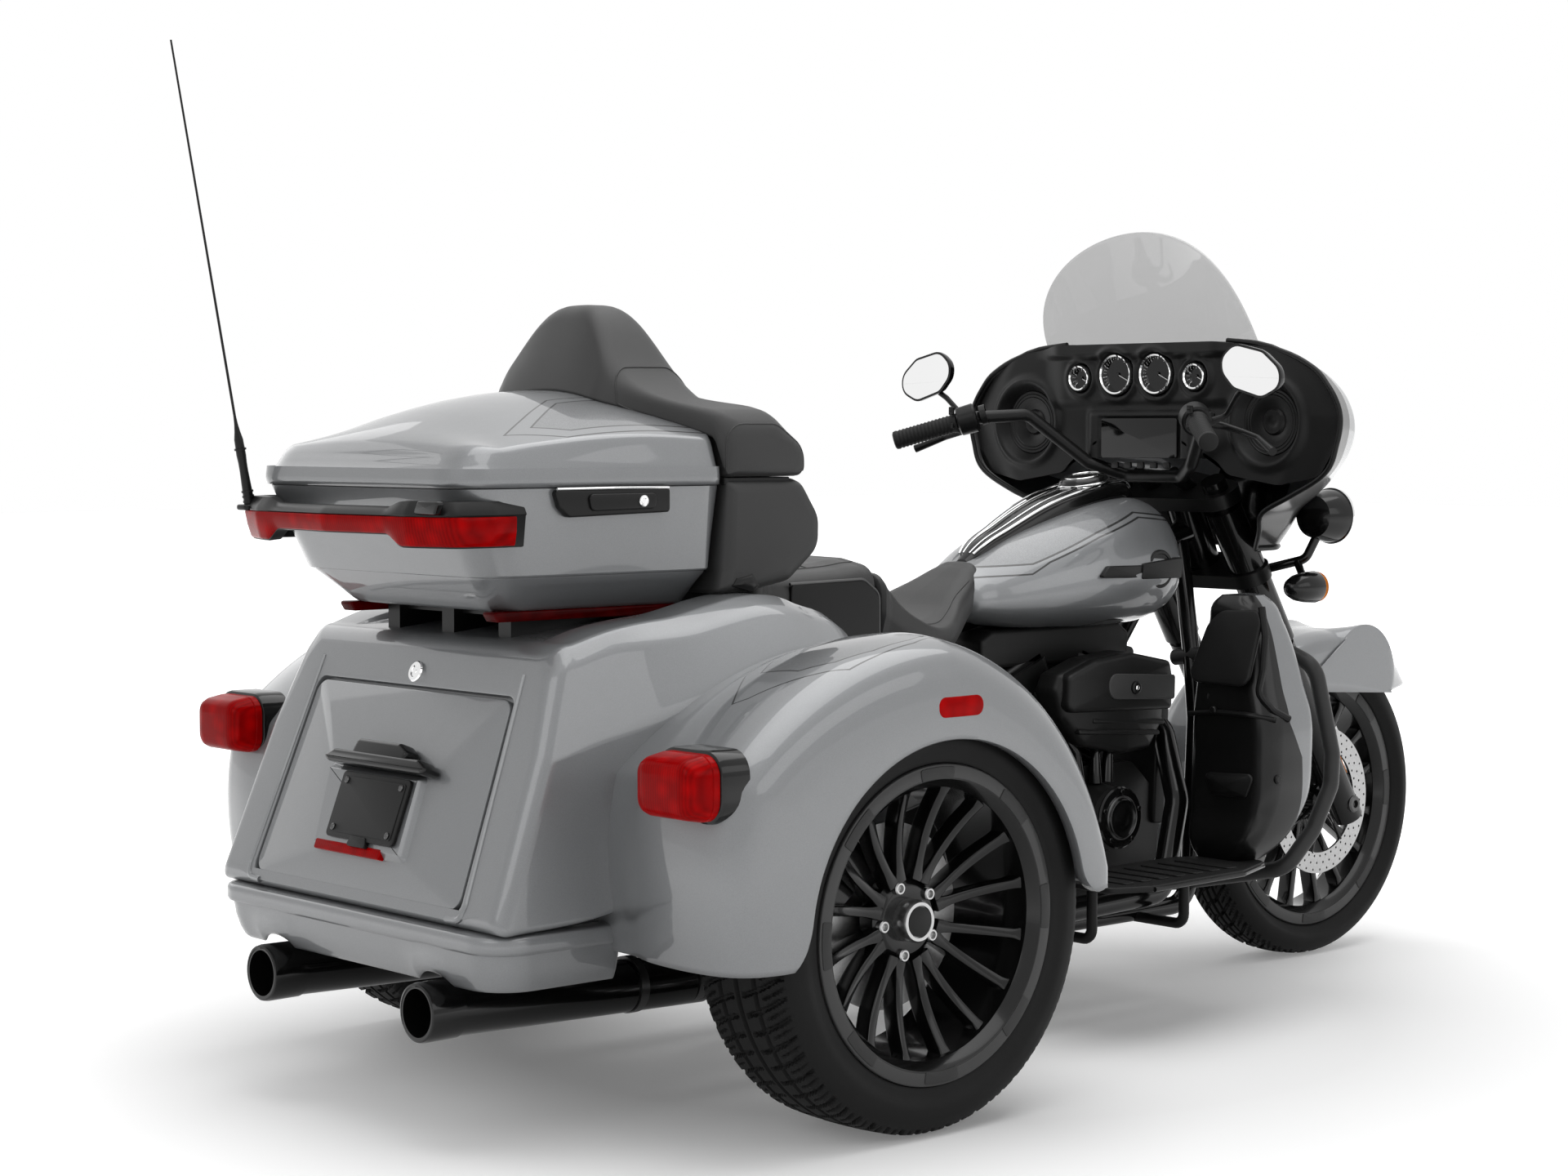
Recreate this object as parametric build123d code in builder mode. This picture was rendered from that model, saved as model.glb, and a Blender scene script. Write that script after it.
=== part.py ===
"""A three-wheeled touring motorcycle, built as its separate pieces.

Millimetres.  +X is forward, +Y is to the rider's left and +Z is up.  The origin is on the
ground, under the middle of the vehicle's bounding box.  Distances along the vehicle are measured
forward from a datum, and heights from the ground.  The luggage body and all that it carries have
the rear axle as their datum.  The engine, the tank and all that is ahead of them have a datum at
a fixed distance behind the front axle, so they keep together when the wheelbase changes.
"""
import os
from math import asin, atan, cos, radians, sin, tan

from build123d import *

os.makedirs("parts", exist_ok=True)

# ---------------------------------------------------------------- driving dimensions
rear_axle_x = -626          # the rear axle behind the origin
wheelbase = 1675
rear_track = 1106           # between the two rear wheels' middle planes
rake = 26                   # lean of the steering axis
fork_lean = 32              # lean of the fork legs
trail = 100
seat_gap = 0.3              # what is left between a moving piece and its seat
running_gap = 0.2           # radial gap of a shaft in its bore

rear_tyre_radius = 325.5
rear_tyre_width = 215
rear_rim_lip_radius = 246
rear_rim_width = 206
rear_bead_radius = 229
front_tyre_radius = 319.5
front_tyre_width = 130
front_rim_lip_radius = 258
front_rim_width = 100
front_bead_radius = 241
spoke_count = 16
spoke_half_width = 8.5
axle_radius = 20

body_half_width = 430       # the luggage body between the rear wheels
body_floor = 389
body_wall = 8
body_front = 130
rear_panel_foot = -636      # where the rear panel meets the lower band
rear_panel_foot_z = 340
rear_panel_lean = 21

door_half_width_low = 281
door_half_width_high = 262
door_low = 30               # distances up the rear panel from its foot
door_high = 356
door_thickness = 14
door_edge_gap = 5
door_lip = 18               # how far the frame of the door opening reaches behind the door

fender_outer_y = 695
fender_wall = 7
arch_radius = 289
arch_centre = (-24, 322)

case_floor = 800
case_rim = 989
case_wall = 7

rail_radius = 17
rail_half_spacing = 150
backbone_radius = 26
head_tube_radius = 36
stem_radius = 25

fork_half_spacing = 122
slider_radius = 31
stanchion_radius = 24
fender_half_width = 88

half_track = rear_track / 2
front_axle_x = rear_axle_x + wheelbase
rear_datum = rear_axle_x
front_datum = front_axle_x - 1675
datum = rear_datum


# ---------------------------------------------------------------- planes and shared shapes
def across(x):
    """The plane across the vehicle at x ahead of the datum: left is +x, up is +y."""
    return Plane(origin=(datum + x, 0, 0), x_dir=(0, 1, 0), z_dir=(1, 0, 0))


def along(y):
    """The upright plane along the vehicle at y: forward is +x, up is +y, and it faces right."""
    return Plane(origin=(datum, y, 0), x_dir=(1, 0, 0), z_dir=(0, -1, 0))


def level(z):
    """The level plane at height z: forward is +x, left is +y."""
    return Plane(origin=(datum, 0, z), x_dir=(1, 0, 0), z_dir=(0, 0, 1))


def at(x, y, z):
    """A point given from the datum, in the model's frame."""
    return Vector(datum + x, y, z)


def front(x):
    """A distance of the front end's, given from the datum in force."""
    return x + front_datum - datum


def rear(x):
    """A distance from the rear axle, given from the datum in force."""
    return x + rear_datum - datum


def steering_x(z):
    """Where the steering axis stands at height z."""
    return front_axle_x - datum + trail - z * tan(radians(rake))


def fork_x(z):
    """Where the fork legs' centre lines stand at height z."""
    return front_axle_x - datum - (z - front_tyre_radius) * tan(radians(fork_lean))


def tube(points, radius, bend=40):
    """A round tube along straight runs joined by bends; the points are from the datum."""
    stops = [at(*point) for point in points]
    with BuildPart() as piece:
        with BuildLine() as path:
            if len(stops) == 2:
                Line(*stops)
            else:
                FilletPolyline(*stops, radius=bend)
        with BuildSketch(Plane(origin=path.line @ 0, z_dir=path.line % 0)):
            Circle(radius)
        sweep()
    return piece.part


def mirrored(shape):
    """The same shape on the other side of the vehicle."""
    return mirror(shape, about=Plane.XZ, mode=Mode.PRIVATE)


def loft_along(sections):
    """A body through rounded rectangles across the vehicle.

    Each section is (x, half width, low, high, corner radius).
    """
    with BuildPart() as piece:
        for x, half_width, low, high, corner in sections:
            with BuildSketch(across(x)):
                with Locations((0, (low + high) / 2)):
                    RectangleRounded(2 * half_width, high - low, corner)
        loft()
    return piece.part


def loft_up(sections):
    """A body through level rounded rectangles.

    Each section is (z, rear x, front x, inner y, outer y, corner radius).
    """
    with BuildPart() as piece:
        for z, rear, front, inner, outer, corner in sections:
            with BuildSketch(level(z)):
                with Locations(((rear + front) / 2, (inner + outer) / 2)):
                    RectangleRounded(front - rear, abs(outer - inner), corner)
        loft(ruled=True)
    return piece.part


def finish(piece, name):
    """Label a finished piece and write it."""
    piece.part.label = name
    export_step(piece.part, f"parts/{name}.step")


# ---------------------------------------------------------------- wheels
def wheel_plane(x, y, z):
    """A plane for a wheel's section: +x is outward from the axle, +y along the axle to the left."""
    return Plane(origin=at(x, y, z), x_dir=(0, 0, 1), z_dir=(-1, 0, 0))


def tyre(x, y, radius, width, lip, bead, rim_width):
    """A hollow tyre on the axle through (x, y, radius), seated between the rim's lips."""
    half, rim_half, wall = width / 2, rim_width / 2, 11
    height = radius - bead
    bulge = bead + 0.5 * height
    crown = radius - 0.3 * height
    seat = (bead + seat_gap, rim_half - 13)
    flange = (lip + seat_gap, rim_half - 9)
    cover = (lip + seat_gap, rim_half - 3)
    shoulder_low = (radius - 0.22 * height, half - 7)
    shoulder_high = (radius - 0.05 * height, half - 26)
    with BuildPart() as ring:
        with BuildSketch(wheel_plane(x, y, radius)):
            with BuildLine():
                Polyline(seat, flange, cover)
                ThreePointArc(cover, (bulge, half), shoulder_low)
                Line(shoulder_low, shoulder_high)
                ThreePointArc(shoulder_high, (radius, 0), (shoulder_high[0], -shoulder_high[1]))
                Line((shoulder_high[0], -shoulder_high[1]), (shoulder_low[0], -shoulder_low[1]))
                ThreePointArc((shoulder_low[0], -shoulder_low[1]), (bulge, -half),
                              (cover[0], -cover[1]))
                Polyline(*[(r, -s) for r, s in (cover, flange, seat)])
                Polyline((seat[0], -seat[1]), (seat[0], -seat[1] + wall), (bulge, -half + wall),
                         (crown, -half + 2 * wall), (crown, half - 2 * wall),
                         (bulge, half - wall), (seat[0], seat[1] - wall), seat)
            make_face()
        revolve(axis=Axis(at(x, 0, radius), (0, 1, 0)))
    return ring


def rim(x, y, height, side, lip, bead, width, face, bore, hub_radius, hub_inner, hub_outer):
    """A cast wheel: a barrel, a hub, and spokes in a dished face on the given side.

    face holds the dished face's (radius, distance outward) at its inner and outer ends.
    """
    half = width / 2
    inner_wall = bead - 12
    window_outer = bead - 21
    (face_hub_r, face_hub), (face_rim_r, face_rim) = face
    spoke_depth = 26
    with BuildPart() as wheel:
        with BuildSketch(wheel_plane(x, y, height)):
            with BuildLine():
                Polyline((lip, -half), (lip, -half + 8), (bead, -half + 12), (bead - 8, 0),
                         (bead, half - 12), (lip, half - 8), (lip, half), (inner_wall + 6, half),
                         (inner_wall - 8, half - 20), (inner_wall - 8, -half + 20),
                         (inner_wall + 6, -half), close=True)
            make_face()
        revolve(axis=Axis(at(x, 0, height), (0, 1, 0)))
        with BuildSketch(wheel_plane(x, y, height)):
            with BuildLine():
                Polyline((bore, side * face_hub),
                         (face_hub_r, side * face_hub), (face_rim_r, side * face_rim),
                         (face_rim_r, side * (face_rim - spoke_depth)),
                         (face_hub_r, side * (face_hub - spoke_depth)),
                         (bore, side * (face_hub - spoke_depth)), close=True)
            make_face()
        revolve(axis=Axis(at(x, 0, height), (0, 1, 0)))
        with BuildSketch(along(y)):
            with Locations((x, height)):
                for start, inner in ((0, 0.42 * bead), (360 / spoke_count, 0.33 * bead)):
                    half_angle = radians(180 / spoke_count)
                    corners = [(r * cos(half_angle), sign * r * sin(half_angle
                                                                    - asin(spoke_half_width / r)))
                               for r, sign in ((inner, -1), (window_outer, -1),
                                               (window_outer, 1), (inner, 1))]
                    with PolarLocations(0, spoke_count // 2, start_angle=start):
                        Polygon(*corners, align=None)
        extrude(amount=half, both=True, mode=Mode.SUBTRACT)
        with BuildSketch(Plane(origin=at(x, y + hub_inner, height), z_dir=(0, 1, 0))):
            Circle(hub_radius)
            Circle(bore, mode=Mode.SUBTRACT)
        extrude(amount=hub_outer - hub_inner)
    return wheel


def brake_disc(x, y, height, outer, inner, thickness):
    """A flat brake disc round the axle, centred on y."""
    with BuildPart() as disc:
        with BuildSketch(Plane(origin=at(x, y - thickness / 2, height), z_dir=(0, 1, 0))):
            Circle(outer)
            Circle(inner, mode=Mode.SUBTRACT)
        extrude(amount=thickness)
    return disc


rear_hub_radius = 62
rear_hub_inner = 22         # outboard distances from the wheel's middle plane
rear_hub_outer = 46
rear_disc_y = -16
rear_disc_radius = 146
rear_disc_thickness = 8
rear_carrier_radius = 55

for name, side in (("right", -1), ("left", 1)):
    y = side * half_track
    rear_tyre = tyre(0, y, rear_tyre_radius, rear_tyre_width, rear_rim_lip_radius, rear_bead_radius,
                     rear_rim_width)
    finish(rear_tyre, f"rear_tyre_{name}")
    rear_rim = rim(0, y, rear_tyre_radius, side, rear_rim_lip_radius, rear_bead_radius,
                   rear_rim_width, ((58, 40), (rear_bead_radius - 15, 84)),
                   axle_radius + running_gap, rear_hub_radius,
                   *sorted((side * rear_hub_inner, side * rear_hub_outer)))
    finish(rear_rim, f"rear_rim_{name}")
    with BuildPart() as rear_disc:
        add(brake_disc(0, y + side * rear_disc_y, rear_tyre_radius, rear_disc_radius,
                       axle_radius + running_gap, rear_disc_thickness).part)
        with BuildSketch(Plane(origin=at(0, y + side * (rear_disc_y + rear_disc_thickness / 2),
                                         rear_tyre_radius), z_dir=(0, side, 0))):
            Circle(rear_carrier_radius)
            Circle(axle_radius + running_gap, mode=Mode.SUBTRACT)
        extrude(amount=rear_hub_inner - rear_disc_y - rear_disc_thickness / 2)
        add(rear_rim.part, mode=Mode.SUBTRACT)
    finish(rear_disc, f"rear_brake_disc_{name}")

# ---------------------------------------------------------------- frame and rear axle
pivot_x = 300
head_low, head_high = 812, 946
rear_rail_z = body_floor - rail_radius
lower_rail_z = 172
seat_rail_spacing = 113

frame_tubes = (
    # points, radius, bend
    (((steering_x(880) + 4, 0, 880), (front(1150), 0, 826), (front(660), 0, 722),
      (front(500), 0, 610), (front(462), 0, 180)),
     backbone_radius, 60),
)
frame_side_tubes = (
    (((front(1296), 14, 852), (front(1232), 100, 640), (front(1222), 120, 520),
      (front(1168), rail_half_spacing, lower_rail_z), (250, rail_half_spacing, lower_rail_z), (110, rail_half_spacing, rear_rail_z),
      (-520, rail_half_spacing, rear_rail_z)), rail_radius, 60),
    (((front(500), 0, 640), (front(440), seat_rail_spacing, 640), (body_front, seat_rail_spacing, 610)),
     rail_radius, 40),
)
frame_cross_tubes = (
    # x, z
    (front(1100), lower_rail_z),
    (front(462), lower_rail_z),
    (-500, rear_rail_z),
    (95, rear_rail_z),
)
axis_tilt = (-sin(radians(rake)), 0, cos(radians(rake)))
head_length = (head_high - head_low) / cos(radians(rake))

with BuildPart() as frame:
    for points, radius, bend in frame_tubes:
        add(tube(points, radius, bend))
    for points, radius, bend in frame_side_tubes:
        one_side = tube(points, radius, bend)
        add(one_side)
        add(mirrored(one_side))
    for x, z in frame_cross_tubes:
        add(tube(((x, -rail_half_spacing, z), (x, rail_half_spacing, z)), rail_radius - 2))
    head_plane = Plane(origin=at(steering_x(head_low), 0, head_low), z_dir=axis_tilt)
    with BuildSketch(head_plane):
        Circle(head_tube_radius)
    extrude(amount=head_length)
    with BuildSketch(head_plane):
        Circle(stem_radius + running_gap)
    extrude(amount=head_length, mode=Mode.SUBTRACT)
finish(frame, "frame")

axle_tube_radius = 28
axle_tube_end = 500
final_drive_radius = 60
arm_spacing = 96
with BuildPart() as rear_axle:
    add(tube(((0, -axle_tube_end, rear_tyre_radius), (0, axle_tube_end, rear_tyre_radius)),
             axle_tube_radius))
    add(tube(((0, -70, rear_tyre_radius), (0, 70, rear_tyre_radius)), final_drive_radius))
    for side in (-1, 1):
        spindle_end = half_track + rear_hub_outer + 12
        add(tube(((0, side * axle_tube_end, rear_tyre_radius),
                  (0, side * spindle_end, rear_tyre_radius)), axle_radius))
        add(tube(((0, side * (axle_tube_end - 14), rear_tyre_radius),
                  (0, side * axle_tube_end, rear_tyre_radius)), 66))
        add(tube(((0, side * arm_spacing, rear_tyre_radius), (pivot_x, side * arm_spacing, 215)),
                 20))
        add(tube(((pivot_x, side * (arm_spacing - 22), 215),
                  (pivot_x, side * (rail_half_spacing + 10), 215)), 14))
        add(tube(((pivot_x, side * rail_half_spacing, 215),
                  (pivot_x, side * rail_half_spacing, lower_rail_z)), 14))
        # the caliper: a block over the disc's edge, held to the axle flange by its bracket
        disc_y = side * (half_track + rear_disc_y)
        with BuildSketch(along(side * (axle_tube_end - 7))):
            with Locations((-104, rear_tyre_radius + 78)):
                Rectangle(64, 92, rotation=-54)
        extrude(amount=-side * (abs(disc_y) + 26 - axle_tube_end + 7))
        with BuildSketch(Plane(origin=at(0, disc_y - rear_disc_thickness / 2 - 2,
                                         rear_tyre_radius), z_dir=(0, 1, 0))):
            Circle(rear_disc_radius + 2)
            Circle(rear_carrier_radius, mode=Mode.SUBTRACT)
        extrude(amount=rear_disc_thickness + 4, mode=Mode.SUBTRACT)
        with BuildSketch(along(side * (axle_tube_end - 7))):
            with BuildLine():
                Polyline((-30, rear_tyre_radius - 30), (30, rear_tyre_radius + 40),
                         (-90, rear_tyre_radius + 120), (-130, rear_tyre_radius + 60), close=True)
            make_face()
        extrude(amount=7, both=True)
    add(frame.part, mode=Mode.SUBTRACT)
finish(rear_axle, "rear_axle")

# ---------------------------------------------------------------- engine
datum = front_datum
case_half_width = 118
crank = (932, 357)
cylinder_lean = 22.5
fin_count = 11
fin_pitch = 13
with BuildPart() as engine_case:
    with BuildSketch(along(case_half_width)):
        with BuildLine():
            Polyline((520, 205), (1040, 200), (1112, 262), (1118, 380), (1040, 452), (760, 452),
                     (700, 420), (540, 430), close=True)
        make_face()
        fillet(vertices(), 24)
    extrude(amount=2 * case_half_width)
    with BuildSketch(along(-case_half_width)):
        with Locations(crank):
            Circle(64)
    extrude(amount=54, taper=6)
    with BuildSketch(along(-case_half_width)):
        with BuildLine():
            Polyline((580, 230), (840, 220), (860, 300), (800, 400), (600, 410), close=True)
        make_face()
        fillet(vertices(), 26)
    extrude(amount=30)
    with BuildSketch(along(case_half_width + 74)):
        with BuildLine():
            Polyline((560, 225), (1040, 215), (1084, 300), (1050, 392), (640, 400), close=True)
        make_face()
        fillet(vertices(), 34)
    extrude(amount=74)
    for x in (570, 1030):
        with BuildSketch(level(lower_rail_z)):
            with Locations((x, 0)):
                Rectangle(46, 2 * rail_half_spacing)
        extrude(amount=60)
    add(frame.part, mode=Mode.SUBTRACT)
finish(engine_case, "engine_case")

with BuildPart() as engine_cylinders:
    for lean in (-cylinder_lean, cylinder_lean):
        up = (sin(radians(lean)), 0, cos(radians(lean)))
        seat_plane = Plane(origin=at(902, 0, 380), x_dir=(0, 1, 0), z_dir=up)
        with BuildSketch(seat_plane.offset(50)):
            Circle(60)
        extrude(amount=180)
        for number in range(fin_count):
            with BuildSketch(seat_plane.offset(84 + number * fin_pitch)):
                RectangleRounded(158, 150, 30)
            extrude(amount=4)
        with BuildSketch(seat_plane.offset(84 + fin_count * fin_pitch)):
            RectangleRounded(150, 138, 26)
        extrude(amount=48)
    add(engine_case.part, mode=Mode.SUBTRACT)
    add(frame.part, mode=Mode.SUBTRACT)
finish(engine_cylinders, "engine_cylinders")

with BuildPart() as air_cleaner:
    with BuildSketch(along(-168)):
        with BuildLine():
            Polyline((706, 540), (722, 500), (1000, 489), (1046, 560), (1049, 664), (1030, 690),
                     (840, 684), (748, 642), (712, 592), close=True)
        make_face()
        fillet(vertices(), 10)
    extrude(amount=80, taper=5)
    with BuildSketch(along(-60)):
        with Locations((890, 590)):
            Circle(44)
    extrude(amount=112)
    add(engine_cylinders.part, mode=Mode.SUBTRACT)
finish(air_cleaner, "air_cleaner")

muffler_radius = 41.5
muffler_y = 216
header_radius = 22
with BuildPart() as exhaust:
    for side in (-1, 1):
        muffler = ((rear(-653), side * muffler_y, 212), (rear(-110), side * muffler_y, 200))
        add(tube(muffler, muffler_radius))
        add(tube(((rear(-110), side * muffler_y, 200), (430, side * muffler_y, 205)), 27))
    add(tube(((1030, -40, 560), (1132, -110, 520), (1090, -188, 380), (1030, -205, 216),
              (600, -muffler_y, 205), (420, -muffler_y, 205)), header_radius, 50))
    add(tube(((420, -muffler_y, 205), (420, muffler_y, 205)), header_radius))
    for side in (-1, 1):
        with BuildSketch(across(rear(-654))):
            with Locations((side * muffler_y, 212)):
                Circle(muffler_radius - 5)
        extrude(amount=70, mode=Mode.SUBTRACT)
    for other in (frame, rear_axle, engine_case, engine_cylinders):
        add(other.part, mode=Mode.SUBTRACT)
finish(exhaust, "exhaust")

# ---------------------------------------------------------------- luggage body
datum = rear_datum
panel_tilt = radians(rear_panel_lean)
panel = Plane(origin=at(rear_panel_foot, 0, rear_panel_foot_z), x_dir=(0, -1, 0),
              z_dir=(-cos(panel_tilt), 0, sin(panel_tilt)))
# x, half widths at the foot, shoulder and top, and the heights of these
body_sections = (
    (-700, 388, 362, 318, 340, 560, 716),
    (-420, 398, 385, 330, 345, 620, 757),
    (-300, body_half_width, 418, 330, body_floor, 660, 770),
    (-5, body_half_width, body_half_width, 324, body_floor, 735, 800),
    (body_front - 32, body_half_width, 425, 318, body_floor, 690, 742),
    (body_front, 420, 412, 300, body_floor, 640, 690),
)


def luggage_hull(inset, top_inset):
    """The luggage body's outer shape, or with insets the space inside its walls."""
    with BuildPart() as hull:
        for number, section in enumerate(body_sections):
            x, foot, shoulder, top, foot_z, shoulder_z, top_z = section
            x -= inset * (number == len(body_sections) - 1)
            foot_z = max(foot_z, body_floor) + inset if inset else foot_z
            half = [(foot - inset, foot_z), (shoulder - inset, shoulder_z),
                    ((shoulder + 2 * top) / 3 - inset, (shoulder_z + 4 * top_z) / 5 - top_inset),
                    (top - inset, top_z - top_inset)]
            with BuildSketch(across(x)):
                with BuildLine():
                    Polyline(*half, *[(-y, z) for y, z in reversed(half)], close=True)
                make_face()
        loft(ruled=True)
        split(bisect_by=panel.offset(-inset), keep=Keep.BOTTOM)
    return hull.part


deck_pocket_depth = 12
with BuildPart() as rear_body:
    add(luggage_hull(0, 0))
    add(luggage_hull(body_wall, 2 * body_wall + deck_pocket_depth), mode=Mode.SUBTRACT)
    # the band below the panel runs on under the floor only at the back
    with BuildSketch(level(rear_panel_foot_z - 1)):
        with BuildLine():
            Polyline((-622, 368), (-410, 380), (-300, 400), (-300, -400), (-410, -380),
                     (-622, -368), close=True)
        make_face()
    extrude(amount=body_floor - rear_panel_foot_z - body_wall, mode=Mode.SUBTRACT)
    # the door's seat: a shallow pocket in the panel, and the opening inside its frame
    with BuildSketch(panel):
        with BuildLine():
            Polyline((-door_half_width_low - door_edge_gap, door_low - door_edge_gap),
                     (door_half_width_low + door_edge_gap, door_low - door_edge_gap),
                     (door_half_width_high + door_edge_gap, door_high + door_edge_gap),
                     (-door_half_width_high - door_edge_gap, door_high + door_edge_gap),
                     close=True)
        make_face()
    extrude(amount=-door_thickness - seat_gap, mode=Mode.SUBTRACT)
    with BuildSketch(panel.offset(-door_thickness - seat_gap)):
        with BuildLine():
            Polyline((-door_half_width_low - 2 * door_lip, door_low - 2 * door_lip),
                     (door_half_width_low + 2 * door_lip, door_low - 2 * door_lip),
                     (door_half_width_high + 2 * door_lip, door_high + 2 * door_lip),
                     (-door_half_width_high - 2 * door_lip, door_high + 2 * door_lip),
                     close=True)
        make_face()
    extrude(amount=-body_wall)
    with BuildSketch(panel.offset(-door_thickness)):
        with BuildLine():
            Polyline((-door_half_width_low + door_lip, door_low + 2 * door_lip),
                     (door_half_width_low - door_lip, door_low + 2 * door_lip),
                     (door_half_width_high - door_lip, door_high - door_lip),
                     (-door_half_width_high + door_lip, door_high - door_lip), close=True)
        make_face()
    extrude(amount=-3 * body_wall, mode=Mode.SUBTRACT)
    # a shallow pocket in the deck, between the two side ridges
    with BuildSketch(along(250)):
        with BuildLine():
            Polyline((-446, 757 - deck_pocket_depth), (-30, 798 - deck_pocket_depth), (-30, 830),
                     (-446, 830), close=True)
        make_face()
    extrude(amount=500, mode=Mode.SUBTRACT)
    add(frame.part, mode=Mode.SUBTRACT)
finish(rear_body, "rear_body")

with BuildPart() as luggage_door:
    with BuildSketch(panel.offset(-door_thickness)):
        with BuildLine():
            Polyline((-door_half_width_low, door_low), (door_half_width_low, door_low),
                     (door_half_width_high, door_high), (-door_half_width_high, door_high),
                     close=True)
        make_face()
        fillet(vertices(), 22)
    extrude(amount=door_thickness)
    # the moulded step round the number plate, with the grip above it
    with BuildSketch(panel):
        with BuildLine():
            Polyline((-118, 96), (118, 96), (108, 262), (-108, 262), close=True)
        make_face()
    extrude(amount=14, taper=18)
    with BuildSketch(panel.offset(14)):
        with Locations((0, 240)):
            RectangleRounded(220, 30, 12)
    extrude(amount=26, taper=12)
finish(luggage_door, "luggage_door")

with BuildPart() as number_plate:
    with BuildSketch(panel.offset(14)):
        with Locations((0, 168)):
            RectangleRounded(178, 104, 6)
    extrude(amount=5)
    with BuildSketch(panel.offset(14)):
        with Locations((0, 104)):
            Rectangle(160, 22)
    extrude(amount=7)
    with BuildSketch(panel.offset(14)):
        with Locations((0, 114)):
            Rectangle(60, 10)
    extrude(amount=3)
    add(luggage_door.part, mode=Mode.SUBTRACT)
finish(number_plate, "number_plate")

# The skirt below the band, open to the front, with a scoop over each exhaust tip.
valance_low = 254
with BuildPart() as rear_valance:
    for wall, mode in ((0, Mode.ADD), (body_wall, Mode.SUBTRACT)):
        with BuildSketch(level(valance_low)):
            with Locations((-495 + wall / 2, 0)):
                RectangleRounded(190 - wall, 740 - 2 * wall, 50 - wall)
        with BuildSketch(level(rear_panel_foot_z)):
            with Locations((-514 + wall / 2, 0)):
                RectangleRounded(244 - wall, 768 - 2 * wall, 60 - wall)
        loft(mode=mode)
    with BuildSketch(across(-401)):
        with Locations((0, 290)):
            Rectangle(900, 200)
    extrude(amount=30, mode=Mode.SUBTRACT)
    for side in (-1, 1):
        with BuildSketch(across(-660)):
            with Locations((side * muffler_y, 215)):
                Circle(muffler_radius + 18)
        extrude(amount=150, mode=Mode.SUBTRACT)
    add(rear_body.part, mode=Mode.SUBTRACT)
finish(rear_valance, "rear_valance")


# ---------------------------------------------------------------- rear fenders
# distance from the middle, and how far the outline draws in there
fender_crown = ((345, 30), (430, 26), (490, 6), (560, 0), (620, 4), (660, 22), (684, 50),
                (fender_outer_y, 88))
fender_well_inner = half_track - rear_tyre_width / 2 - 9


def fender_form(wall):
    """The right fender's outer form, or with a wall the space inside its skin."""
    with BuildPart() as form:
        for number, (y, inset) in enumerate(fender_crown):
            inset += wall
            y -= wall * (number == len(fender_crown) - 1)
            with BuildSketch(along(-y)):
                with BuildLine():
                    front, rear, low = 361 - inset * 0.4, -440 + inset, 290
                    Line((front, 352 - 2 * wall), (front, 384))
                    ThreePointArc((front, 384), (262 - 0.7 * inset, 622 - 0.7 * inset),
                                  (6, 766 - inset))
                    ThreePointArc((6, 766 - inset), (-278 + 0.55 * inset, 698 - 0.8 * inset),
                                  (rear, 575 - 0.3 * inset))
                    ThreePointArc((rear, 575 - 0.3 * inset), (rear - 20, 430),
                                  (rear + 2, low - 2 * wall))
                    Line((rear + 2, low - 2 * wall), (front, 352 - 2 * wall))
                make_face()
        loft(ruled=True)
        if wall:
            with BuildSketch(level(0)):
                with Locations((0, -fender_well_inner)):
                    Rectangle(1200, 800, align=(Align.CENTER, Align.MIN))
            extrude(amount=900, mode=Mode.SUBTRACT)
    return form.part


with BuildPart() as right_fender:
    add(fender_form(0))
    add(fender_form(fender_wall), mode=Mode.SUBTRACT)
    with BuildSketch(along(-fender_well_inner)):
        with Locations(arch_centre):
            Circle(arch_radius)
        with Locations((arch_centre[0], arch_centre[1] - 200)):
            Rectangle(2 * arch_radius, 400)
    extrude(amount=300, mode=Mode.SUBTRACT)
    # room for the axle flange and the brake at the inner side
    with BuildSketch(along(-body_half_width)):
        with Locations((0, rear_tyre_radius)):
            Circle(90)
        with Locations((0, rear_tyre_radius - 150)):
            Rectangle(180, 300)
    extrude(amount=40, both=True, mode=Mode.SUBTRACT)
    add(luggage_hull(0, 0), mode=Mode.SUBTRACT)
    add(frame.part, mode=Mode.SUBTRACT)
    add(rear_axle.part, mode=Mode.SUBTRACT)

lamp_depth = 62
lamp_centre = (604, 570)
for name, side in (("right", -1), ("left", 1)):
    fender_block = fender_form(0) if side < 0 else mirrored(fender_form(0))
    with BuildPart() as rear_fender:
        add(right_fender.part if side < 0 else mirrored(right_fender.part))
        add(rear_valance.part, mode=Mode.SUBTRACT)
    finish(rear_fender, f"rear_fender_{name}")
    with BuildPart() as tail_lamp:
        with BuildSketch(across(-440 - lamp_depth)):
            with Locations((side * lamp_centre[0], lamp_centre[1])):
                RectangleRounded(136, 96, 30)
        with BuildSketch(across(-440 + 12)):
            with Locations((side * lamp_centre[0], lamp_centre[1])):
                RectangleRounded(146, 108, 34)
        loft()
        add(fender_block, mode=Mode.SUBTRACT)
    finish(tail_lamp, f"tail_lamp_{name}")
    with BuildPart() as side_reflector:
        with BuildSketch(along(side * 685)):
            with Locations((7, 662)):
                SlotOverall(74, 30)
        extrude(amount=-side * 12)
        add(fender_block, mode=Mode.SUBTRACT)
    finish(side_reflector, f"side_reflector_{name}")

# ---------------------------------------------------------------- top case
# z, rear x, front x, half width, corner radius
case_sections = ((case_floor, -494, -125, 212, 50), (856, -552, -116, 268, 60),
                 (case_rim - seat_gap, -614, -107, 284, 66))


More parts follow.
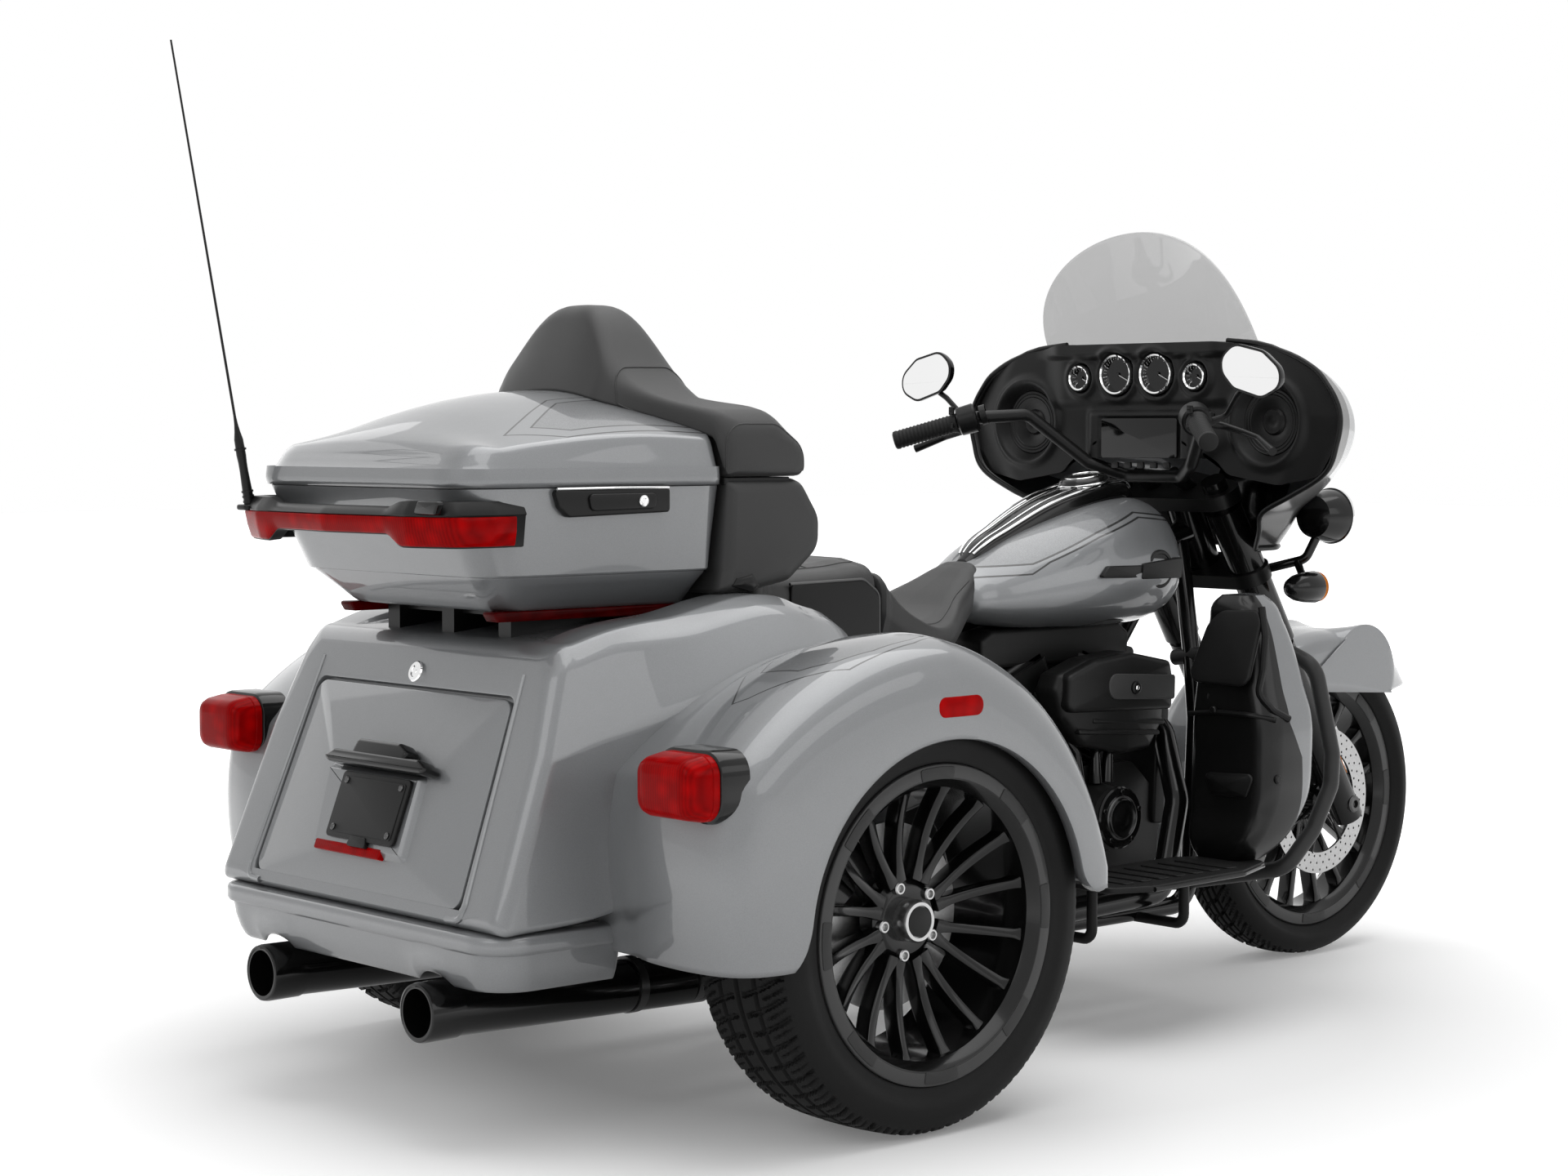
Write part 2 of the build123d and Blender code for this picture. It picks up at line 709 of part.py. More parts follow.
def case_form(wall):
    """The top case's lower half as a block, or with a wall the space inside it."""
    with BuildPart() as form:
        for number, (z, rear, front, half_width, corner) in enumerate(case_sections):
            with BuildSketch(level(z + wall * (number == 0))):
                with Locations(((rear + front) / 2, 0)):
                    RectangleRounded(front - rear - 2 * wall, 2 * (half_width - wall),
                                     corner - wall)
        loft(ruled=True)
    return form.part


with BuildPart() as top_case_body:
    add(case_form(0))
    add(case_form(case_wall), mode=Mode.SUBTRACT)
finish(top_case_body, "top_case_body")

# x, half width, height of the lid's side, height of its crown
lid_sections = ((-614, 258, 1016, 1022), (-594, 268, 1040, 1046), (-420, 282, 1062, 1126),
                (-256, 284, 1070, 1139), (-107, 284, 1066, 1128))


def lid_form(wall):
    """The top case's lid as a block, or with a wall the space inside it."""
    with BuildPart() as form:
        for number, (x, half_width, side_z, crown_z) in enumerate(lid_sections):
            x += wall * ((number == 0) - (number == len(lid_sections) - 1))
            low, width = case_rim - wall, half_width - wall
            with BuildSketch(across(x)):
                with BuildLine():
                    Line((-width, low), (width, low))
                    Line((width, low), (width, side_z - wall))
                    ThreePointArc((width, side_z - wall), (0, crown_z - wall),
                                  (-width, side_z - wall))
                    Line((-width, side_z - wall), (-width, low))
                make_face()
        loft(ruled=True)
    return form.part


with BuildPart() as top_case_lid:
    add(lid_form(0))
    add(lid_form(case_wall), mode=Mode.SUBTRACT)
finish(top_case_lid, "top_case_lid")

with BuildPart() as top_case_lamp:
    with BuildSketch(level(900)):
        with BuildLine():
            Polyline((-500, 283), (-562, 294), (-628, 285), (-657, 206))
            ThreePointArc((-657, 206), (-671, 0), (-657, -206))
            Polyline((-657, -206), (-628, -285), (-562, -294), (-500, -283), (-500, 283))
        make_face()
    with BuildSketch(level(948)):
        with BuildLine():
            Polyline((-500, 288), (-562, 298), (-636, 286), (-664, 200))
            ThreePointArc((-664, 200), (-676, 0), (-664, -200))
            Polyline((-664, -200), (-636, -286), (-562, -298), (-500, -288), (-500, 288))
        make_face()
    loft(ruled=True)
    add(case_form(0), mode=Mode.SUBTRACT)
finish(top_case_lamp, "top_case_lamp")

with BuildPart() as case_side_lamps:
    for side in (-1, 1):
        with BuildSketch(level(case_floor - 10)):
            with Locations((-320, side * 199)):
                RectangleRounded(350, 22, 8)
        extrude(amount=10)
finish(case_side_lamps, "case_side_lamps")

latch_y = -293
with BuildPart() as top_case_latch:
    with BuildSketch(along(latch_y + 22)):
        with BuildLine():
            Polyline((-460, 986), (-452, 945), (-232, 950), (-218, 986), close=True)
        make_face()
        fillet(vertices(), 5)
    extrude(amount=22)
    add(case_form(0), mode=Mode.SUBTRACT)
finish(top_case_latch, "top_case_latch")

deck_low = 757 - deck_pocket_depth
with BuildPart() as top_case_rack:
    for y in (-150, 0, 150):
        with BuildSketch(along(y + 16)):
            with BuildLine():
                Polyline((-440, deck_low + 0.6), (-60, 795.2 - deck_pocket_depth),
                         (-60, case_floor), (-440, case_floor), close=True)
            make_face()
        extrude(amount=32)
    for x in (-400, -120):
        with BuildSketch(level(case_floor - 12)):
            with Locations((x, 0)):
                Rectangle(46, 330)
        extrude(amount=12)
    add(rear_body.part, mode=Mode.SUBTRACT)
finish(top_case_rack, "top_case_rack")

antenna_foot = (-638, 260, 949)
antenna_tip = (-772, 260, 1679)
with BuildPart() as antenna:
    whip = Vector(*antenna_tip) - Vector(*antenna_foot)
    foot = Plane(origin=at(*antenna_foot), z_dir=whip)
    with BuildSketch(foot):
        Circle(9)
    with BuildSketch(foot.offset(120)):
        Circle(5)
    loft()
    with BuildSketch(foot.offset(120)):
        Circle(2.2)
    extrude(amount=whip.length - 120)
    with BuildSketch(level(948)):
        with Locations((-634, 260)):
            Rectangle(44, 34)
    extrude(amount=7)
    add(top_case_lamp.part, mode=Mode.SUBTRACT)
finish(antenna, "antenna")

# ---------------------------------------------------------------- passenger's backrest
pad_front = 100
pad_back = -107 + seat_gap
pad_split = 998
back_face = -22
pad_half_width = 289
with BuildPart() as backrest_lower_pad:
    with BuildSketch(level(826)):
        with Locations(((pad_front + pad_back) / 2, 0)):
            RectangleRounded(pad_front - pad_back, 2 * pad_half_width, 40)
        with Locations((back_face, 0)):
            Rectangle(300, 444, align=(Align.MIN, Align.CENTER), mode=Mode.SUBTRACT)
    extrude(amount=pad_split - 4 - 826)
    with BuildSketch(along(400)):
        with BuildLine():
            Polyline((-60, 820), (110, 912), (110, 820), close=True)
        make_face()
    extrude(amount=800, mode=Mode.SUBTRACT)
    add(case_form(0), mode=Mode.SUBTRACT)
finish(backrest_lower_pad, "backrest_lower_pad")

with BuildPart() as backrest_upper_pad:
    with BuildSketch(level(pad_split + 2)):
        with Locations(((pad_front - 34 + pad_back) / 2, 0)):
            RectangleRounded(pad_front - 34 - pad_back, 2 * pad_half_width, 40)
        with Locations((back_face, 0)):
            Rectangle(300, 444, align=(Align.MIN, Align.CENTER), mode=Mode.SUBTRACT)
    extrude(amount=88)
    for low, high in (((1086, 250, -107, -16), (1166, 140, -126, -22)),
                      ((1166, 140, -126, -22), (1278, 88, -196, -120))):
        for z, half_width, back, face in (low, high):
            with BuildSketch(level(z)):
                with Locations(((back + face) / 2, 0)):
                    RectangleRounded(face - back, 2 * half_width, (face - back) / 2 - 1)
        loft()
    add(lid_form(0), mode=Mode.SUBTRACT)
finish(backrest_upper_pad, "backrest_upper_pad")

# ---------------------------------------------------------------- fuel tank and seats
datum = front_datum
# x, half width, low, high, corner radius
tank_sections = ((632, 62, 736, 802, 28), (760, 128, 714, 864, 55), (900, 166, 704, 918, 76),
                 (1040, 174, 704, 950, 84), (1125, 146, 728, 950, 76), (1166, 84, 780, 924, 40))
with BuildPart() as fuel_tank:
    add(loft_along(tank_sections))
    with BuildSketch(along(backbone_radius + 8)):
        with BuildLine():
            Polyline((600, 660), (1200, 660), (1200, 874), (1160, 866), (640, 756), (600, 756),
                     close=True)
        make_face()
    extrude(amount=2 * (backbone_radius + 8), mode=Mode.SUBTRACT)
    add(frame.part, mode=Mode.SUBTRACT)
finish(fuel_tank, "fuel_tank")

with BuildPart() as tank_console:
    with BuildSketch(along(54)):
        with BuildLine():
            Polyline((706, 790), (706, 838), (900, 932), (1060, 974), (1112, 966), (1112, 880),
                     close=True)
        make_face()
    extrude(amount=108)
    fillet(edges().filter_by(GeomType.LINE).group_by(Axis.Z)[-1], 8)
    with BuildSketch(Plane(origin=at(1034, 0, 940), z_dir=(-0.2, 0, 1))):
        Circle(44)
    extrude(amount=54)
    add(loft_along(tank_sections), mode=Mode.SUBTRACT)
finish(tank_console, "tank_console")

with BuildPart() as rider_seat:
    with BuildSketch(along(210)):
        with BuildLine():
            Polyline((300, 700), (560, 676), (640, 728), (712, 790), (706, 832), (640, 806),
                     (560, 762), (500, 745), (430, 752), (360, 790), (312, 838), (300, 838),
                     close=True)
        make_face()
    extrude(amount=420)
    with BuildSketch(level(600)):
        with BuildLine():
            Polyline((300, 208), (420, 204), (500, 176), (600, 104), (712, 52), (712, -52),
                     (600, -104), (500, -176), (420, -204), (300, -208), close=True)
        make_face()
    extrude(amount=300, mode=Mode.INTERSECT)
    for other in (fuel_tank, tank_console, frame):
        add(other.part, mode=Mode.SUBTRACT)
finish(rider_seat, "rider_seat")

datum = rear_datum
seats_meet = front(300)
with BuildPart() as passenger_seat:
    with BuildSketch(along(205)):
        with BuildLine():
            Polyline((back_face + 1, 780), (body_front - 30, 700), (body_front + 1, 640),
                     (seats_meet, 668), (seats_meet, 846), (seats_meet - 20, 856),
                     (back_face + 142, 842), (back_face + 1, 838), close=True)
        make_face()
    extrude(amount=410)
    with BuildSketch(level(600)):
        with Locations(((seats_meet + back_face) / 2, 0)):
            Rectangle(seats_meet + 2 - back_face, 410)
        fillet(vertices(), 30)
    extrude(amount=300, mode=Mode.INTERSECT)
    for other in (rear_body, rider_seat, backrest_lower_pad, frame):
        add(other.part, mode=Mode.SUBTRACT)
    add(luggage_hull(0, 0), mode=Mode.SUBTRACT)
finish(passenger_seat, "passenger_seat")

datum = front_datum
cover_inner = seat_rail_spacing + rail_radius
for name, side in (("right", -1), ("left", 1)):
    with BuildPart() as side_cover:
        with BuildSketch(along(side * (cover_inner + 40))):
            with BuildLine():
                Polyline((rear(body_front), 430), (rear(body_front), 636), (300, 664), (560, 664), (640, 560),
                         (600, 470), (300, 400), close=True)
            make_face()
            fillet(vertices().sort_by(Axis.X)[2:], 18)
        extrude(amount=side * 40)
        for other in (rider_seat, passenger_seat, frame, engine_cylinders, rear_body):
            add(other.part, mode=Mode.SUBTRACT)
    finish(side_cover, f"side_cover_{name}")

# ---------------------------------------------------------------- guards and footboards
# z, rear x, front x, inner y, outer y, corner radius
lower_sections = ((286, 1040, 1150, 262, 372, 24), (380, 1058, 1208, 238, 424, 34),
                  (480, 1066, 1226, 234, 428, 40), (620, 1072, 1226, 234, 402, 40),
                  (770, 1096, 1196, 262, 352, 30))
lower_wall = 6
lid_low, lid_high, lid_thickness = 624, 748, 5
(foot_z, foot_x), (head_z, head_x) = [section[:2] for section in lower_sections[-2:]]
lid_tilt = atan((head_x - foot_x) / (head_z - foot_z))
lid_face = Plane(origin=at(foot_x + (lid_low - foot_z) * tan(lid_tilt) - seat_gap, 0, lid_low),
                 x_dir=(0, -1, 0), z_dir=(-cos(lid_tilt), 0, sin(lid_tilt)))
for name, side in (("right", -1), ("left", 1)):
    outer = [(z, rear, front, side * inner, side * reach, corner)
             for z, rear, front, inner, reach, corner in lower_sections]
    inner_space = [(z + lower_wall * (2 * (n == 0) - (n == len(lower_sections) - 1)),
                    rear + lower_wall, front - lower_wall, side * (inner + lower_wall),
                    side * (reach - lower_wall), corner - lower_wall)
                   for n, (z, rear, front, inner, reach, corner) in enumerate(lower_sections)]
    with BuildPart() as lower_fairing:
        add(loft_up(outer))
        add(loft_up(inner_space), mode=Mode.SUBTRACT)
        with BuildSketch(across(1050)):
            with BuildLine():
                Polyline((side * 268, lid_low + 12), (side * 372, lid_low + 12),
                         (side * 346, lid_high - 12), (side * 280, lid_high - 12), close=True)
            make_face()
        extrude(amount=50, mode=Mode.SUBTRACT)
    finish(lower_fairing, f"lower_fairing_{name}")
    with BuildPart() as lower_lid:
        with BuildSketch(lid_face):
            with BuildLine():
                Polyline((-side * 256, 0), (-side * 386, 0), (-side * 364, lid_high - lid_low),
                         (-side * 266, lid_high - lid_low), close=True)
            make_face()
            fillet(vertices(), 16)
        extrude(amount=lid_thickness)
    finish(lower_lid, f"lower_fairing_lid_{name}")
    with BuildPart() as footboard:
        with BuildSketch(level(278)):
            with BuildLine():
                Polyline((690, side * 246), (1010, side * 246), (1100, side * 300),
                         (1100, side * 392), (980, side * 440), (720, side * 452),
                         (640, side * 420), (650, side * 300), close=True)
            make_face()
            fillet(vertices(), 24)
        extrude(amount=8)
        for x in (760, 1010):
            add(tube(((x, side * (rail_half_spacing + 8), 165), (x, side * 275, 165),
                      (x, side * 275, 279)), 10, 20))
        add(frame.part, mode=Mode.SUBTRACT)
        add(lower_fairing.part, mode=Mode.SUBTRACT)
    finish(footboard, f"footboard_{name}")

with BuildPart() as engine_guard:
    for side in (-1, 1):
        add(tube(((1230, side * 98, 640), (1248, side * 300, 668), (1252, side * 384, 636),
                  (1300, side * 398, 411), (1200, side * 380, 258), (1164, side * 146, 214)),
                 15, 44))
    for other in (frame, fuel_tank, engine_case):
        add(other.part, mode=Mode.SUBTRACT)
finish(engine_guard, "engine_guard")

# ---------------------------------------------------------------- fork and front wheel
front_axle_radius = 12
front_hub_radius = 34
front_hub_half = 84
front_disc_y = 66
front_disc_radius = 150
front_disc_thickness = 5

axle_x = front_axle_x - datum
front_tyre = tyre(axle_x, 0, front_tyre_radius, front_tyre_width, front_rim_lip_radius,
                  front_bead_radius, front_rim_width)
finish(front_tyre, "front_tyre")
front_rim = rim(axle_x, 0, front_tyre_radius, 1, front_rim_lip_radius, front_bead_radius,
                front_rim_width, ((46, 13), (front_bead_radius - 15, 16)),
                front_axle_radius + running_gap, front_hub_radius, -front_hub_half,
                front_hub_half)
finish(front_rim, "front_rim")
with BuildPart() as front_brake_discs:
    for side in (-1, 1):
        add(brake_disc(axle_x, side * front_disc_y, front_tyre_radius, front_disc_radius,
                       front_hub_radius, front_disc_thickness).part)
finish(front_brake_discs, "front_brake_discs")

fork_top = 978
with BuildPart() as fork_legs:
    add(tube(((axle_x, -fork_half_spacing - 18, front_tyre_radius),
              (axle_x, fork_half_spacing + 18, front_tyre_radius)), front_axle_radius))
    for side in (-1, 1):
        y = side * fork_half_spacing
        add(tube(((fork_x(290), y, 290), (fork_x(650), y, 650)), slider_radius))
        add(tube(((fork_x(640), y, 640), (fork_x(fork_top), y, fork_top)), stanchion_radius))
        with BuildSketch(along(side * 60)):
            with Locations((1592, 424)):
                Rectangle(64, 112, rotation=fork_lean)
        extrude(amount=-side * 50)
        with BuildSketch(Plane(origin=at(axle_x, side * front_disc_y - 4.5,
                                         front_tyre_radius), z_dir=(0, 1, 0))):
            Circle(front_disc_radius + 3)
            Circle(slider_radius + 30, mode=Mode.SUBTRACT)
        extrude(amount=9, mode=Mode.SUBTRACT)
finish(fork_legs, "fork_legs")

yoke_thickness = 28
with BuildPart() as fork_yokes:
    for z, push in ((head_low, -yoke_thickness - 0.5), (head_high, 0.5)):
        base = Plane(origin=at(steering_x(z), 0, z), x_dir=(cos(radians(rake)), 0, sin(radians(rake))),
                     z_dir=axis_tilt).offset(push)
        leg_offset = (fork_x(z) - steering_x(z)) * cos(radians(rake))
        with BuildSketch(base):
            Circle(48)
            with Locations((leg_offset, fork_half_spacing), (leg_offset, -fork_half_spacing)):
                Circle(42)
            make_hull()
        extrude(amount=yoke_thickness)
    with BuildSketch(Plane(origin=at(steering_x(head_low), 0, head_low), z_dir=axis_tilt).offset(-10)):
        Circle(stem_radius)
    extrude(amount=head_length + 20)
    add(fork_legs.part, mode=Mode.SUBTRACT)
finish(fork_yokes, "fork_yokes")

with BuildPart() as fork_shrouds:
    for side in (-1, 1):
        y = side * fork_half_spacing
        add(tube(((fork_x(660), y, 660), (fork_x(925), y, 925)), stanchion_radius + 12))
    for other in (fork_legs, fork_yokes):
        add(other.part, mode=Mode.SUBTRACT)
finish(fork_shrouds, "fork_shrouds")

grip_end = Vector(922, 399, 1054)
grip_run = (Vector(1020, 283, 1098) - grip_end).normalized()
grip_length = 124
bar_radius = 12.7
with BuildPart() as handlebar:
    half_bar = [grip_end, Vector(1020, 283, 1098), Vector(1118, 228, 1104), Vector(1190, 132, 1010),
                Vector(1236, 70, 984)]
    bar = [(p.X, -p.Y, p.Z) for p in half_bar] + [(p.X, p.Y, p.Z) for p in reversed(half_bar)]
    add(tube(bar, bar_radius, 26))
    for side in (-1, 1):
        add(tube(((1236, side * 45, 990), (1296, side * 45, 958)), 15))
    add(fork_yokes.part, mode=Mode.SUBTRACT)
finish(handlebar, "handlebar")

with BuildPart() as hand_grips:
    for side in (-1, 1):
        stops = [grip_end - 4 * grip_run, grip_end + grip_length * grip_run]
        add(tube([(p.X, side * p.Y, p.Z) for p in stops], 18))
    add(handlebar.part, mode=Mode.SUBTRACT)
finish(hand_grips, "hand_grips")

with BuildPart() as hand_controls:
    for side in (-1, 1):
        stops = [grip_end + (grip_length + 1) * grip_run, grip_end + (grip_length + 40) * grip_run]
        add(tube([(p.X, side * p.Y, p.Z) for p in stops], 27))
        add(tube(((1022, side * 292, 1092), (1062, side * 318, 1082), (1060, side * 400, 1060),
                  (1030, side * 457, 1036)), 8, 14))
        add(tube(((1030, side * 310, 1088), (1046, side * 338, 1102), (1034, side * 372, 1138),
                  (1028, side * 392, 1150)), 6, 12))
    for other in (handlebar, hand_grips):
        add(other.part, mode=Mode.SUBTRACT)
finish(hand_controls, "hand_controls")

with BuildPart() as mirrors:
    for side in (-1, 1):
        with BuildSketch(across(1018)):
            with Locations((side * 414, 1180)):
                Ellipse(76, 46, rotation=side * 12)
        extrude(amount=22)
    add(hand_controls.part, mode=Mode.SUBTRACT)
finish(mirrors, "mirrors")

with BuildPart() as headlamp:
    add(tube(((1500, 0, 962), (1596, 0, 962)), 92))
finish(headlamp, "headlamp")

# height, rear x, and the half outline's points (x, y) from the rear corner to the nose
dash_x = 1206
fairing_sections = (
    (848, ((1300, 200), (1380, 186), (1470, 120), (1512, 0))),
    (920, ((1222, 280), (1370, 246), (1500, 150), (1578, 0))),
    (985, ((dash_x, 424), (1370, 330), (1520, 186), (1586, 0))),
    (1050, ((dash_x, 464), (1372, 374), (1522, 204), (1580, 0))),
    (1112, ((dash_x, 468), (1360, 382), (1506, 204), (1562, 0))),
    (1180, ((dash_x, 420), (1330, 334), (1462, 176), (1508, 0))),
    (1236, ((dash_x, 282), (1290, 222), (1384, 118), (1424, 0))),
)


def fairing_form(wall):
    """The fork-mounted fairing as a block, or with a wall the space inside it."""
    with BuildPart() as form:
        for number, (z, half) in enumerate(fairing_sections):
            z += wall * ((number == 0) - (number == len(fairing_sections) - 1))
            points = [(x + wall * (n == 0) - 1.3 * wall * (n > 1), y - wall * (n < 3) * 1.3)
                      for n, (x, y) in enumerate(half)]
            with BuildSketch(level(z)):
                with BuildLine():
                    Polyline(*points, *[(x, -y) for x, y in reversed(points[:-1])], close=True)
                make_face()
        loft(ruled=True)
    return form.part


fairing_wall = 5
fork_bay_half_width = 172
tank_bay_front = 1290
tank_bay_half_width = 240
with BuildPart() as fairing_outer:
    add(fairing_form(0))
    add(fairing_form(fairing_wall), mode=Mode.SUBTRACT)
    with BuildSketch(level(840)):
        with Locations((1290, 0)):
            Rectangle(300, 2 * fork_bay_half_width)
    extrude(amount=184, mode=Mode.SUBTRACT)
    # room at the back for the tank when the bars are turned
    with BuildSketch(level(840)):
        with Locations((tank_bay_front, 0)):
            Rectangle(150, 2 * tank_bay_half_width, align=(Align.MAX, Align.CENTER))
    extrude(amount=122, mode=Mode.SUBTRACT)
    add(headlamp.part, mode=Mode.SUBTRACT)
finish(fairing_outer, "fairing_outer")

with BuildPart() as fairing_inner:
    with BuildSketch(across(dash_x - 18)):
        with BuildLine():
            Polyline((-180, 1018), (-205, 992), (-424, 992), (-464, 1050), (-468, 1112), (-420, 1180),
                     (-282, 1236), (282, 1236), (420, 1180), (468, 1112), (464, 1050), (424, 992),
                     (205, 992), (180, 1018), close=True)
        make_face()
        fillet(vertices(), 14)
    extrude(amount=18)
    for side in (-1, 1):
        with BuildSketch(across(dash_x - 19)):
            with Locations((side * 304, 1095)):
                Circle(72)
        extrude(amount=9, mode=Mode.SUBTRACT)
    for y in (-147, -49, 49, 147):
        with BuildSketch(across(dash_x - 24)):
            with Locations((y, 1184)):
                Circle(44)
                Circle(36, mode=Mode.SUBTRACT)
        extrude(amount=8)
    with BuildSketch(across(dash_x - 26)):
        with Locations((0, 1060)):
            RectangleRounded(230, 100, 10)
    extrude(amount=10)
    for other in (handlebar, fairing_outer):
        add(other.part, mode=Mode.SUBTRACT)
finish(fairing_inner, "fairing_inner")

windshield_thickness = 4
windshield_lean = 30
with BuildPart() as windshield:
    with BuildSketch(level(1236)):
        with BuildLine():
            ThreePointArc((1196, 300), (1306, 0), (1196, -300))
            Line((1196, -300), (1196 - windshield_thickness, -300))
            ThreePointArc((1196 - windshield_thickness, -300), (1306 - windshield_thickness, 0),
                          (1196 - windshield_thickness, 300))
            Line((1196 - windshield_thickness, 300), (1196, 300))
        make_face()
    extrude(amount=260, dir=(-tan(radians(windshield_lean)), 0, 1))
    with BuildSketch(across(1000)):
        with BuildLine():
            Line((-278, 1220), (278, 1220))
            Line((278, 1220), (262, 1310))
            ThreePointArc((262, 1310), (0, 1455), (-262, 1310))
            Line((-262, 1310), (-278, 1220))
        make_face()
    extrude(amount=400, mode=Mode.INTERSECT)
    add(fairing_form(0), mode=Mode.SUBTRACT)
finish(windshield, "windshield")

with BuildPart() as front_lamps:
    add(tube(((1484, -205, 872), (1470, -186, 822), (1436, -110, 800), (1436, 110, 800),
              (1470, 186, 822), (1484, 205, 872)), 9, 24))
    for side in (-1, 1):
        add(tube(((1454, side * 208, 906), (1526, side * 208, 906)), 52))
        add(tube(((1360, side * 236, 772), (1444, side * 236, 768)), 30))
        add(tube(((1462, side * 172, 816), (1410, side * 236, 772)), 8))
    for other in (fork_yokes, fairing_outer, fork_shrouds):
        add(other.part, mode=Mode.SUBTRACT)
    add(fairing_form(0), mode=Mode.SUBTRACT)
finish(front_lamps, "front_lamps")

fender_thickness = 4


front_crown = ((fender_half_width, 26), (82, 10), (64, 2), (-64, 2), (-82, 10),
               (-fender_half_width, 26))


def front_fender_form(wall):
    """The front fender as a block, or with a wall the space inside its skin."""
    with BuildPart() as form:
        for y, inset in front_crown:
            inset += wall
            y -= wall * (abs(y) == fender_half_width) * (1 if y > 0 else -1)
            with BuildSketch(along(y)):
                with BuildLine():
                    tip = (2012 + wall - 0.5 * inset, 540 - inset)
                    top = (1700, 667 - inset)
                    tail = (1288 + 0.9 * inset, 188)
                    ThreePointArc(tip, (1878 - 0.3 * inset, 632 - 0.9 * inset), top)
                    ThreePointArc(top, (1423 + 0.8 * inset, 570 - 0.6 * inset), tail)
                    if wall:
                        Polyline(tail, (tail[0], 100), (1520, 100), (1700, 100), (tip[0], 100),
                                 tip)
                    else:
                        Line(tail, (1394, 209))
                        ThreePointArc((1394, 209), (1452, 482), (1660, 592))
                        Polyline((1660, 592), (1990, 518 - 0.5 * inset), tip)
                make_face()
        loft(ruled=True)
    return form.part


with BuildPart() as front_fender:
    add(front_fender_form(0))
    add(front_fender_form(fender_thickness), mode=Mode.SUBTRACT)
    for side in (-1, 1):
        add(tube(((fork_x(588), side * (fender_half_width - 1), 588),
                  (fork_x(588), side * (fork_half_spacing - 10), 588)), 14))
    add(fork_legs.part, mode=Mode.SUBTRACT)
finish(front_fender, "front_fender")
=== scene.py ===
from math import cos, radians, sin, tan

import bmesh
import bpy
import numpy as np
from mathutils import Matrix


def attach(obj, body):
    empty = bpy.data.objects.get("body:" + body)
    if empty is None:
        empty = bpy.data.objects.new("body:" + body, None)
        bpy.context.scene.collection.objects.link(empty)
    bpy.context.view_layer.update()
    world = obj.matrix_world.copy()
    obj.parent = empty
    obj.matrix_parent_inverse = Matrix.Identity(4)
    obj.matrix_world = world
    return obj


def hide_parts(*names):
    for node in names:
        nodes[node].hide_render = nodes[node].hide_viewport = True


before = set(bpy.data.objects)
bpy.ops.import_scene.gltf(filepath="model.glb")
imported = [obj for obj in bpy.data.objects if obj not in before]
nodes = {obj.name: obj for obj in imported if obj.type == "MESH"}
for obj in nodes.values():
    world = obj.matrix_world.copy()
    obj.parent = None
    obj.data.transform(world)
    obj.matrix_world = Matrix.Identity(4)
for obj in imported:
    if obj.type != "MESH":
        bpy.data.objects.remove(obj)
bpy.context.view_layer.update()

axleX = -626          # the rear axle's place ahead of the origin; tables are in mm from the axle
pi = np.pi
twoSides = ((-1, "Right", "right"), (1, "Left", "left"))
forward, rearward, toRight = (1, 0, 0), (-1, 0, 0), (0, -1, 0)
# the across and up directions of an outline seen from the right, from behind and from above
fromRight, fromBehind, fromAbove = (forward, (0, 0, 1)), (toRight, (0, 0, 1)), (forward, (0, 1, 0))


# Numbers: tables, outlines and grids

def smooth(keys, values, at):
    # Cubic Hermite through the keyed values; each slope is the mean of its two neighbours'.
    keys, values, at = (np.asarray(a, float) for a in (keys, values, at))
    flat = values.reshape(len(keys), -1)
    gap = np.diff(keys)[:, None]
    rise = np.diff(flat, axis=0) / gap
    slope = np.empty_like(flat)
    slope[0], slope[-1] = rise[0], rise[-1]
    slope[1:-1] = (rise[:-1] * gap[1:] + rise[1:] * gap[:-1]) / (gap[:-1] + gap[1:])
    place = at.reshape(-1)
    low = np.clip(np.searchsorted(keys, place, side="right") - 1, 0, len(keys) - 2)
    t, h = ((place - keys[low]) / gap[low, 0])[:, None], gap[low]
    out = ((2 * t**3 - 3 * t**2 + 1) * flat[low] + (t**3 - 2 * t**2 + t) * h * slope[low]
           + (3 * t**2 - 2 * t**3) * flat[low + 1] + (t**3 - t**2) * h * slope[low + 1])
    return out.reshape(at.shape + values.shape[1:])


def straight(keys, values, at):
    # Straight lines between the keyed values.
    values = np.asarray(values, float)
    flat = values.reshape(len(keys), -1)
    out = np.stack([np.interp(at, keys, column) for column in flat.T], -1)
    return out.reshape(np.shape(at) + values.shape[1:])


def ease(x, low, high):
    # 0 below low, 1 above high, and a smooth S between.
    t = np.clip((np.asarray(x, float) - low) / (high - low), 0, 1)
    return t * t * (3 - 2 * t)


def hump(x, centre, width):
    # A bell of height 1 round the centre.
    return np.exp(-((x - centre) / width) ** 2)


